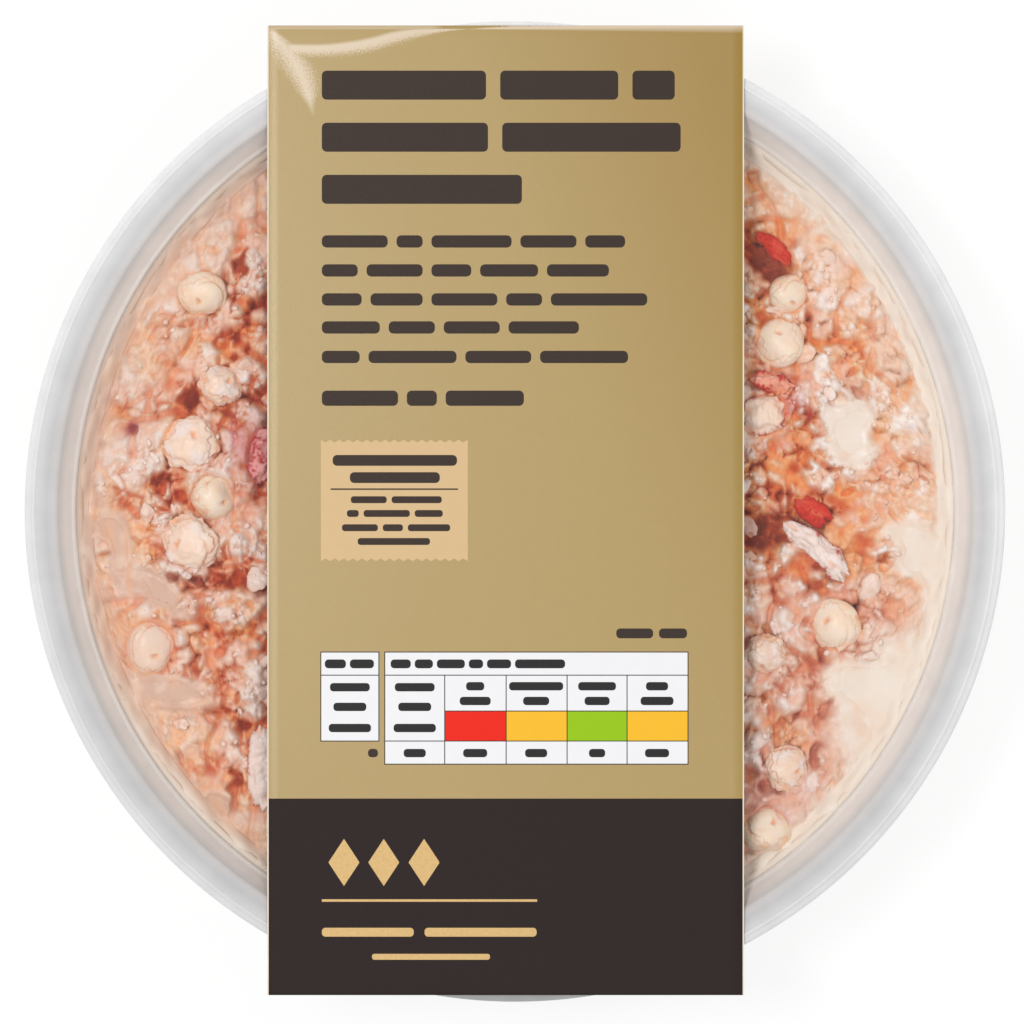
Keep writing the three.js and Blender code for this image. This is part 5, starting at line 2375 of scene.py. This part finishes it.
@dataclass
class CardSleeve:
    """The card sleeve, with a little life in its top face.

    Attributes:
        thickness: The card's.
        corner_top: How far from the middle the top face's folds lie, along Y.
        corner_base: The same under the pack.
        shift_y: How far the whole sleeve lies off the middle.
        fold: How far from each fold its rounding starts.
        fold_steps: Points on each rounding.
        flats: Points on each flat face, from the end wall at -Y on round.
        dark_from: Y below which the card is dark.
        dark_over: Height over which it is.
        slot_top: Height of the slots' upper edge.
        slot_bottom: Height of their lower edge.
        slot_half: Half their length along the lower and the upper edge.
        slot_columns: The first column of faces that the slots take, and the first after them.
        edge_line: How wide the bare card shows along the cut edges.
        chamfer: How far those edges are worn.
        waves: How uneven the top face is.
        still_band: From how far along Y to how near the waves set in.
    """

    thickness: float = 0.5
    corner_top: float = 98.95
    corner_base: float = 81.0
    shift_y: float = 0.25
    fold: float = 1.0
    fold_steps: int = 8
    flats: tuple[int, ...] = (22, 24, 36, 96)
    dark_from: float = -58.4
    dark_over: float = 0.8
    slot_top: float = 49.5
    slot_bottom: float = 43.2
    slot_half: Span = (31.0, 21.0)
    slot_columns: tuple[int, int] = (14, 43)
    edge_line: float = 0.22
    chamfer: float = 0.12
    waves: Ripple = Ripple(0.05, 34.0, 12)
    still_band: Span = (99, 90)

    def __post_init__(self) -> None:
        """Reads the sleeve's box."""
        low, high = (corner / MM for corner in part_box("sleeve"))
        self.left, self.right = low.x, high.x
        self.top, self.base = high.z, low.z

    def lift(self, x: np.ndarray, y: np.ndarray) -> np.ndarray:
        """Gives how far the top face stands from flat, in faint waves."""
        waves = self.waves.at(paired(x, y)) - self.waves.size
        return waves * smoothstep(*self.still_band, np.abs(y))

    def loop(self, inset: float) -> np.ndarray:
        """Gives the sleeve's section, inset from its outer face.

        Args:
            inset: How far inside the outer face the loop lies.

        Returns:
            Y and Z of the loop's points, from the fold between the top and the end wall at -Y, round.
        """
        slope = (self.corner_top - self.corner_base) / (self.top - self.base)
        high, low = self.top - inset, self.base + inset
        aside = inset * math.hypot(1, slope)
        over, under = (self.corner_base + slope * height - aside for height in (high, low))
        corners = [np.array(corner) for corner in ((-over, high), (-under, low), (under, low), (over, high))]
        radius = self.fold - inset
        turned = [
            bent_corner(corners[index - 1], corner, corners[(index + 1) % 4], radius, self.fold_steps)
            for index, corner in enumerate(corners)
        ]
        points: list[np.ndarray] = []
        for index, steps in enumerate(self.flats):
            start, end = turned[index][-1], turned[(index + 1) % 4][0]
            shares = np.linspace(0, 1, steps + 2)[1:-1]
            if index == 3:
                dark = (start[0] - (self.dark_from - self.shift_y)) / (start[0] - end[0])
                shares[np.argmin(np.abs(shares - dark))] = dark
            if index in (0, 2):
                notch = (self.slot_bottom - start[1]) / (end[1] - start[1])
                shares[np.argmin(np.abs(shares - notch))] = notch
            points.extend((turned[index], start + (end - start) * shares[:, None]))
        return np.concatenate(points) + (self.shift_y, 0)

    def columns(self, heights: np.ndarray) -> np.ndarray:
        """Lays out even columns that draw aside round the slots.

        Args:
            heights: Height of each row.

        Returns:
            The X of every point, a row for each height.
        """
        half = np.interp(heights, (self.slot_bottom, self.slot_top), self.slot_half)[:, None]
        reference = sum(self.slot_half) / 2
        edge = self.edge_line
        even = np.concatenate(
            (
                (self.left, self.left + edge),
                np.linspace(self.left + 2, -reference, 13),
                np.linspace(-reference, reference, 30)[1:-1],
                np.linspace(reference, self.right - 2, 12),
                (self.right - edge, self.right),
            )
        )
        inner = np.clip(even, -reference, reference) * half / reference
        left_share = np.clip((even + reference) / (self.left + reference), 0, 1)
        right_share = np.clip((even - reference) / (self.right - reference), 0, 1)
        return inner + left_share * (self.left + half) + right_share * (self.right - half)

    def layer(self, loop: np.ndarray, x: np.ndarray) -> np.ndarray:
        """Lays out one face of the card.

        Args:
            loop: Y and Z of the face's section.
            x: The X of every point, a row for each point of the loop.

        Returns:
            The face's points, in the same rows.
        """
        y, z = (np.repeat(part[:, None], x.shape[1], axis=1) for part in loop.T)
        on_top = smoothstep(self.top - 1.2, self.top - 0.6, z)
        return np.stack((x, y, z + self.lift(x, y) * on_top), axis=-1)

    def build(
        self, gold: bpy.types.Material, dark: bpy.types.Material, board: bpy.types.Material
    ) -> bpy.types.Object:
        """Makes the sleeve: gold and dark outside, bare board inside and along its cut edges.

        Args:
            gold: The outside's finish.
            dark: The outside's finish where it's dark.
            board: The finish of the inside and the cut edges.

        Returns:
            The sleeve.
        """
        outer, inner = self.loop(0), self.loop(self.thickness)
        x = self.columns(outer[:, 1])
        rows, columns = x.shape
        front, back = self.layer(outer, x), self.layer(inner, x)
        front[:, [0, -1], :] += self.chamfer * (back - front)[:, [0, -1], :] / self.thickness
        middle_y, middle_z = ((outer + np.roll(outer, -1, axis=0)) / 2).T
        slotted = (middle_z < self.slot_top) & (middle_z > self.slot_bottom)
        solid = np.ones((rows, columns - 1), bool)
        solid[slotted, slice(*self.slot_columns)] = False
        faces: list[list[int]] = []
        finishes: list[int] = []

        def number(face: int, row: int, column: int) -> int:
            """Gives a point's number, from its face of the card, its row and its column."""
            return (face * rows + row % rows) * columns + column

        for row, column in np.argwhere(solid).tolist():
            is_dark = middle_y[row] < self.dark_from and middle_z[row] > self.dark_over
            last = columns - 2
            corners = [(row, column), (row, column + 1), (row + 1, column + 1), (row + 1, column)]
            faces.append([number(0, *corner) for corner in corners][::-1])
            faces.append([number(1, *corner) for corner in corners])
            finishes.extend((2 if column in (0, last) else int(is_dark), 2))
            here, beside, across, below = corners
            sides = (
                (column == 0 or not solid[row, column - 1], here, below),
                (column == last or not solid[row, column + 1], across, beside),
                (not solid[row - 1, column], beside, here),
                (not solid[(row + 1) % rows, column], below, across),
            )
            for is_cut, one, other in sides:
                if is_cut:
                    faces.append([number(0, *one), number(0, *other), number(1, *other), number(1, *one)])
                    finishes.append(2)
        points, materials = np.concatenate((front, back)).reshape(-1, 3), [gold, dark, board]
        return make_object("card_sleeve", points, faces, materials, finishes=finishes, sharp_angle=35)


class Ends(Enum):
    """How the short ends or long edges of a printed shape are cut."""

    SQUARE = "square"
    ROUND = "round"
    PINKED = "pinked"
    POINTED = "pointed"


@dataclass(frozen=True)
class Ink:
    """One printed colour.

    Attributes:
        name: The name of its piece.
        colour: The ink's colour.
        layer: Its height over the card.
        metal: How metallic it is.
    """

    name: str
    colour: Colour
    layer: float
    metal: float = 0.0


class Inks(Enum):
    """The inks of the sleeve's plain print."""

    BROWN = Ink("print_brown", srgb(58, 46, 40), 0.02)
    LABEL = Ink("print_label", srgb(213, 182, 137), 0.02)
    LABEL_BROWN = Ink("print_label_brown", srgb(58, 46, 40), 0.035)
    FRAME = Ink("print_frame", srgb(44, 38, 36), 0.02)
    WHITE = Ink("print_white", srgb(235, 235, 237), 0.03)
    RED = Ink("print_red", srgb(233, 34, 14), 0.03)
    AMBER = Ink("print_amber", srgb(242, 185, 42), 0.03)
    GREEN = Ink("print_green", srgb(147, 194, 10), 0.03)
    BLACK = Ink("print_black", srgb(40, 38, 38), 0.04)
    GOLD = Ink("print_gold", srgb(196, 164, 112), 0.02, 0.4)


@dataclass
class SleevePrint:
    """Plain bars, blocks and rules printed on the sleeve, with no lettering.

    Attributes:
        sleeve: What they are printed on.
        margin: X of the left margin.
        rule: Width of the tables' rules.
        sunk: How far below the card's face the print starts.
        tooth: Length of two teeth of a pinked edge.
        tooth_depth: Depth of a tooth.
        rounding: Radius of the round ends at most.
        shapes: Points and faces of what each ink prints.
    """

    sleeve: CardSleeve
    margin: float = -39.3
    rule: float = 0.2
    sunk: float = 0.02
    tooth: float = 1.9
    tooth_depth: float = 0.55
    rounding: float = 1.2
    shapes: dict[Inks, list[tuple[np.ndarray, np.ndarray]]] = field(default_factory=dict)

    def outline(self, length: float, half: float, ends: Ends) -> tuple[np.ndarray, np.ndarray]:
        """Gives half the width of a bar, station by station.

        Args:
            length: Its length.
            half: Half its width.
            ends: How its ends are cut.

        Returns:
            The stations along the bar, and half its width at each.
        """
        if ends is Ends.PINKED:
            teeth = round(length / self.tooth)
            x = np.linspace(0, length, 2 * teeth + 1)
            return x, half - self.tooth_depth * (np.arange(len(x)) % 2)
        if ends is Ends.POINTED:
            x = np.linspace(0, length, 13)
            return x, half * (1.02 - np.abs(2 * x / length - 1))
        steps = np.linspace(0, length, max(2, int(length / 2) + 1))
        if ends is Ends.SQUARE:
            return steps, np.full(len(steps), half)
        radius = min(half, length / 2, self.rounding) * 0.8
        curve = radius * (1 - np.cos(np.linspace(0, math.pi / 2, 5)))
        between = steps[(steps > radius + 0.1) & (steps < length - radius - 0.1)]
        x = np.concatenate((curve, between, length - curve[::-1]))
        near = np.clip(np.minimum(x, length - x) / radius, 0, 1)
        return x, half - radius * (1 - np.sqrt(1 - (1 - near) ** 2))

    def bar(self, ink: Inks, box: Box, ends: Ends = Ends.SQUARE) -> None:
        """Prints one bar.

        Args:
            ink: Its ink.
            box: Its left, low, right and high edge.
            ends: How its ends are cut.
        """
        left, low, right, high = box
        x, tall = self.outline(right - left, (high - low) / 2, ends)
        rows = max(2, int((high - low) / 2.5) + 1)
        across = np.linspace(-1, 1, rows)
        grid_x = np.repeat(x[:, None] + left, rows, axis=1)
        grid_y = (low + high) / 2 + tall[:, None] * across[None, :]
        surface = self.sleeve.top + self.sleeve.lift(grid_x, grid_y)
        over = np.stack((grid_x, grid_y, surface + ink.value.layer), axis=-1).reshape(-1, 3)
        under = np.stack((grid_x, grid_y, surface - self.sunk), axis=-1).reshape(-1, 3)
        quads = grid_quads(len(x), rows)
        rim = grid_rim(len(x), rows)
        sides = np.stack((rim, np.roll(rim, -1), np.roll(rim, -1) + len(over), rim + len(over)), axis=-1)
        faces = np.concatenate((quads, quads[:, ::-1] + len(over), sides[:, ::-1]))
        self.shapes.setdefault(ink, []).append((np.concatenate((over, under)), faces))

    def words(
        self, ink: Inks, left: float, baseline: float, lengths: list[float], height: float, gap: float = 0.8
    ) -> None:
        """Prints a line of plain bars, as long as words are.

        Args:
            ink: Their ink.
            left: Where the line starts.
            baseline: Its lower edge.
            lengths: Length of each bar.
            height: Height of the bars.
            gap: Space between them.
        """
        for length in lengths:
            self.bar(ink, (left, baseline, left + length, baseline + height), Ends.ROUND)
            left += length + gap

    def heading(self) -> None:
        """Prints the large heading as three lines of heavy bars."""
        for baseline, lengths in ((83.8, [33.4, 24.0, 8.6]), (73.2, [33.8, 36.3]), (62.6, [40.7])):
            self.words(Inks.BROWN, self.margin, baseline, lengths, 5.9, 2.9)

    def paragraph(self) -> None:
        """Prints the paragraph below it, the bold line under that and the small bold words."""
        lines = (
            (53.7, [13.4, 5.3, 16.3, 11.4, 8.1]),
            (47.8, [7.3, 11.4, 8.1, 11.8, 12.6]),
            (41.9, [8.1, 10.6, 13.4, 7.3, 19.6]),
            (36.2, [11.8, 9.4, 11.4, 14.3]),
            (30.2, [7.7, 17.9, 13.4, 17.9]),
        )
        for baseline, lengths in lines:
            self.words(Inks.BROWN, self.margin, baseline, lengths, 2.5, 1.8)
        self.words(Inks.BROWN, self.margin, 21.5, [15.5, 6.1, 15.9], 3.1, 1.8)
        self.words(Inks.BROWN, 20.6, -25.8, [7.5, 5.7], 2.0, 1.2)

    def label(self) -> None:
        """Prints the small label with pinked edges."""
        self.bar(Inks.LABEL, (-39.5, -10.1, -9.6, 14.6), Ends.PINKED)
        self.words(Inks.LABEL_BROWN, -37.1, 9.3, [25.3], 2.2)
        self.words(Inks.LABEL_BROWN, -33.6, 5.8, [18.3], 2.2)
        self.bar(Inks.LABEL_BROWN, (-37.5, 4.4, -11.6, 4.7))
        lines = (
            (-33.4, 1.7, [7.3, 10.2]),
            (-34.2, -1.1, [2.4, 9.4, 5.7]),
            (-35.2, -4.0, [7.3, 4.1, 8.6]),
            (-32.0, -6.8, [14.7]),
        )
        for left, baseline, lengths in lines:
            self.words(Inks.LABEL_BROWN, left, baseline, lengths, 1.4, 1.0)

    def cell(self, ink: Inks, box: Box) -> None:
        """Prints one cell of a table.

        Args:
            ink: Its ink.
            box: Its left, low, right and high edge, along the middle of its rules.
        """
        left, low, right, high = box
        inset = self.rule / 2
        self.bar(ink, (left + inset, low + inset, right - inset, high - inset))

    def table(self, columns: list[float], rows: list[float], energy_row: float) -> None:
        """Prints one ruled table: a dark field with white and coloured cells on it.

        Args:
            columns: X of the column edges, from the left.
            rows: Y of the row edges, from the top; the first row is the header.
            energy_row: Y where the first column's tall cell ends.
        """
        inset = self.rule / 2
        left, right = columns[0], columns[-1]
        self.bar(Inks.FRAME, (left - inset, rows[-1] - inset, right + inset, rows[0] + inset))
        self.cell(Inks.WHITE, (left, rows[1], right, rows[0]))
        self.cell(Inks.WHITE, (left, energy_row, columns[1], rows[1]))
        if rows[-1] < energy_row:
            self.cell(Inks.WHITE, (left, rows[-1], columns[1], energy_row))
        lights = (Inks.RED, Inks.AMBER, Inks.GREEN, Inks.AMBER)
        for light, near, far in zip(lights, columns[1:], columns[2:]):
            for ink, high, low in zip((Inks.WHITE, light, Inks.WHITE), rows[1:], rows[2:]):
                self.cell(ink, (near, low, far, high))

    def nutrition(self) -> None:
        """Prints the two tables, with short bars in their cells."""
        self.table([-39.5, -27.7], [-28.6, -33.3, -46.7], -46.7)
        self.table([-26.5, -14.3, -1.8, 10.6, 22.8, 35.2], [-28.6, -33.3, -40.6, -46.7, -51.4], -46.7)
        self.words(Inks.BLACK, -38.7, -31.9, [4.3, 4.9], 1.8)
        self.words(Inks.BLACK, -25.3, -31.9, [4.1, 3.7, 5.7, 2.9, 4.9, 10.2], 1.8)
        energy = [(-36.6, 8.1), (-40.6, 6.7), (-44.9, 8.6)]
        bars = {
            -33.6: energy,
            -20.4: [*energy, (-50.0, 4.5)],
            -8.1: [(-36.4, 3.7), (-39.4, 6.3), (-50.0, 4.9)],
            4.3: [(-36.4, 11.0), (-39.4, 5.3), (-50.0, 4.5)],
            16.7: [(-36.4, 7.7), (-39.4, 5.1), (-50.0, 3.3)],
            28.9: [(-36.4, 4.5), (-39.4, 6.7), (-50.0, 4.9)],
        }
        for middle, rows in bars.items():
            for baseline, length in rows:
                self.words(Inks.BLACK, middle - length / 2, baseline, [length], 1.7)
        self.words(Inks.BROWN, -29.9, -50.0, [2.0], 1.7)

    def emblem(self) -> None:
        """Prints plain gold lozenges, a rule and two lines of short bars on the dark field."""
        for middle in (-34.8, -26.7, -18.5):
            self.bar(Inks.GOLD, (middle - 3.1, -76.1, middle + 3.1, -66.7), Ends.POINTED)
        self.bar(Inks.GOLD, (self.margin, -79.4, 4.5, -78.9))
        self.words(Inks.GOLD, self.margin, -86.5, [18.7, 22.8], 1.8, 2.2)
        self.words(Inks.GOLD, -29.1, -91.2, [24.0], 1.2)

    def build(self, groups: SharedGroups) -> list[bpy.types.Object]:
        """Makes one object for each ink.

        Args:
            groups: The shared groups.

        Returns:
            The objects.
        """
        self.heading()
        self.paragraph()
        self.label()
        self.nutrition()
        self.emblem()
        made = []
        for ink, shapes in self.shapes.items():
            look = ink.value
            points, faces = zip(*shapes)
            starts = np.cumsum([0, *map(len, points[:-1])])
            faces = np.concatenate([quads + start for quads, start in zip(faces, starts)])
            finish = PrintedCard(
                look.name, look.colour, look.metal, grain=1800, relief=0.00001, mottle=0.01, gloss=0.15
            )
            materials = [finish.material(groups)]
            made.append(make_object(look.name, np.concatenate(points), faces, materials, sharp_angle=40))
        return made


# ---- studio ------------------------------------------------------------------------------------


@dataclass(frozen=True)
class SoftLight:
    """One soft lamp that looks at the pack.

    Attributes:
        name: Its name.
        place: Where it stands, in metres.
        size: Length of its sides, in metres.
        power: Its power in watts.
    """

    name: str
    place: Triple
    size: float
    power: float

    def build(self) -> None:
        """Makes the lamp."""
        lamp = bpy.data.lights.new(self.name, "AREA")
        lamp.size = self.size
        lamp.energy = self.power
        made = bpy.data.objects.new(self.name, lamp)
        made.location = self.place
        made.rotation_euler = (-Vector(self.place)).to_track_quat("-Z", "Y").to_euler()
        bpy.context.scene.collection.objects.link(made)


@dataclass
class Studio:
    """Camera, soft lights and a pale floor.

    Attributes:
        rim_height: Height of the pack's rim, where the view's width is measured.
        camera_height: How far over the rim the camera is.
        frame_width: Width of the view there.
        aim: X and Y of the camera.
        sensor: Width of the camera's sensor.
        far: The farthest that the camera sees, in metres.
        floor_reach: How far the floor reaches from the middle.
        floor_level: Height of the floor.
        floor_points: Points along each side of the floor.
        floor_grey: The floor's own colour.
        floor_glow: Strength of its even light.
        sky_strength: Strength of the surround.
        lights: The lamps.
    """

    rim_height: float = FLANGE_TOP
    camera_height: float = 950.0
    frame_width: float = 208.6
    aim: Span = (-0.61, -0.1)
    sensor: float = 36.0
    far: float = 50.0
    floor_reach: float = 3000.0
    floor_level: float = -0.05
    floor_points: int = 9
    floor_grey: float = 0.19
    floor_glow: float = 0.82
    sky_strength: float = 0.55
    lights: tuple[SoftLight, ...] = (
        SoftLight("key_light", (-0.46, 0.12, 1.6), 0.3, 9.0),
        SoftLight("low_light", (0.2, -0.62, 1.5), 0.5, 4.0),
        SoftLight("back_light", (0.1, 1.2, 1.2), 0.7, 3.5),
    )

    def camera(self) -> None:
        """Sets a long-lens camera straight above the pack."""
        data = bpy.data.cameras.new("camera")
        data.sensor_width = self.sensor
        data.lens = self.sensor * self.camera_height / self.frame_width
        data.clip_end = self.far
        made = bpy.data.objects.new("camera", data)
        place = Vector((*self.aim, self.rim_height + self.camera_height))
        made.location = place * MM
        bpy.context.scene.collection.objects.link(made)
        bpy.context.scene.camera = made

    def floor(self) -> None:
        """Lays the pale floor, a white sweep with its own even light."""
        edge = np.linspace(-self.floor_reach, self.floor_reach, self.floor_points)
        x, y = np.meshgrid(edge, edge, indexing="ij")
        points = np.stack((x, y, np.full_like(x, self.floor_level)), axis=-1).reshape(-1, 3)
        quads = grid_quads(self.floor_points, self.floor_points)
        material, kit = new_material("floor_sweep")
        inputs = {
            "Base Color": (self.floor_grey,) * 3,
            "Roughness": 0.8,
            "Specular IOR Level": 0.1,
            "Emission Color": (1, 1, 1),
            "Emission Strength": self.floor_glow,
        }
        kit.add("ShaderNodeOutputMaterial", {"Surface": kit.shader("BsdfPrincipled", inputs)})
        material.cycles.emission_sampling = "NONE"
        make_object("floor", points, quads, [material])

    def sky(self) -> None:
        """Sets an even pale surround."""
        world = bpy.data.worlds.new("surround")
        bpy.context.scene.world = world
        world.use_nodes = True
        back = world.node_tree.nodes["Background"]
        back.inputs["Color"].default_value = (1.0, 1.0, 1.0, 1)
        back.inputs["Strength"].default_value = self.sky_strength

    def build(self) -> None:
        """Sets up the whole studio."""
        bpy.context.scene.view_settings.view_transform = "Standard"
        cycles = bpy.context.scene.cycles
        cycles.max_bounces = 3
        cycles.diffuse_bounces = 2
        cycles.glossy_bounces = 1
        cycles.transparent_max_bounces = 24
        cycles.caustics_reflective = False
        cycles.caustics_refractive = False
        self.camera()
        self.sky()
        self.floor()
        for light in self.lights:
            light.build()


# ---- the whole pack ----------------------------------------------------------------------------


def settle(piece: bpy.types.Object, nodes: list[str] | None = None) -> None:
    """Rides a piece on the pack's body and hides the solids that it stands for.

    Args:
        piece: The piece.
        nodes: The solids that it stands for, if any.
    """
    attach(piece, BODY)
    if nodes:
        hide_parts(*nodes)
    LOG.info("made %s with %d faces", piece.name, len(piece.data.polygons))


def add_tub_and_lid(groups: SharedGroups) -> None:
    """Makes the clear tub and its lid.

    Args:
        groups: The shared groups.
    """
    wall = FrostedPlastic("tub_wall", frost=0.4).material(groups)
    settle(ClearTub().build(wall), ["tub"])
    rim, panel = FrostedPlastic("lid_rim").material(groups), ClearPanel("lid_panel").material(groups)
    settle(PressedLid().build(rim, panel), ["lid"])


def add_food(groups: SharedGroups) -> None:
    """Makes the sauce, the crab heap, the prawns and the lobster pieces.

    Args:
        groups: The shared groups.
    """
    prawns = {f"prawn_{number:02d}": sizes for number, sizes in enumerate(PRAWNS, 1)}
    lobster = {f"lobster_{number:02d}": sizes for number, sizes in enumerate(LOBSTER_PIECES, 1)}
    toppings = {node: Topping.of_node(node) for node in prawns}
    for node, (length, width, _, yaw, _) in lobster.items():
        toppings[node] = Topping.of_node(node, (length, width, yaw))
    low, high = (corner.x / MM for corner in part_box("sleeve"))
    surface = FoodSurface(list(toppings.values()), (low + EDGE_SHADE, high - EDGE_SHADE))
    sauce = SAUCE_FINISH.material(groups)
    settle(SauceFill(surface).build(sauce), ["cocktail_sauce"])
    for index, piece in enumerate(CrabHeap(surface).build(CRAB_FINISH.material(groups))):
        settle(piece, None if index else ["crab_heap"])
    flesh = PRAWN_FINISH.material(groups)
    for number, (node, sizes) in enumerate(prawns.items(), 1):
        settle(CurledPrawn(toppings[node], *sizes, number).build(flesh), [node])
    meat = LOBSTER_FINISH.material(groups)
    for number, (node, sizes) in enumerate(lobster.items(), 1):
        settle(LobsterPiece(toppings[node], *sizes, number).build(meat), [node])
    settle(SauceBead().build(sauce))


def add_sleeve(groups: SharedGroups) -> None:
    """Makes the card sleeve and its plain print.

    Args:
        groups: The shared groups.
    """
    sleeve = CardSleeve()
    gold, dark, board = (finish.material(groups) for finish in (GOLD_FINISH, DARK_FINISH, BOARD_FINISH))
    settle(sleeve.build(gold, dark, board), ["sleeve"])
    for piece in SleevePrint(sleeve).build(groups):
        settle(piece)


def main() -> None:
    """Builds the studio and the dressed pack."""
    logging.basicConfig(level=logging.INFO, format="%(name)s: %(message)s")
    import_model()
    groups = SharedGroups()
    Studio().build()
    add_tub_and_lid(groups)
    add_food(groups)
    add_sleeve(groups)


if __name__ == "__main__":
    main()
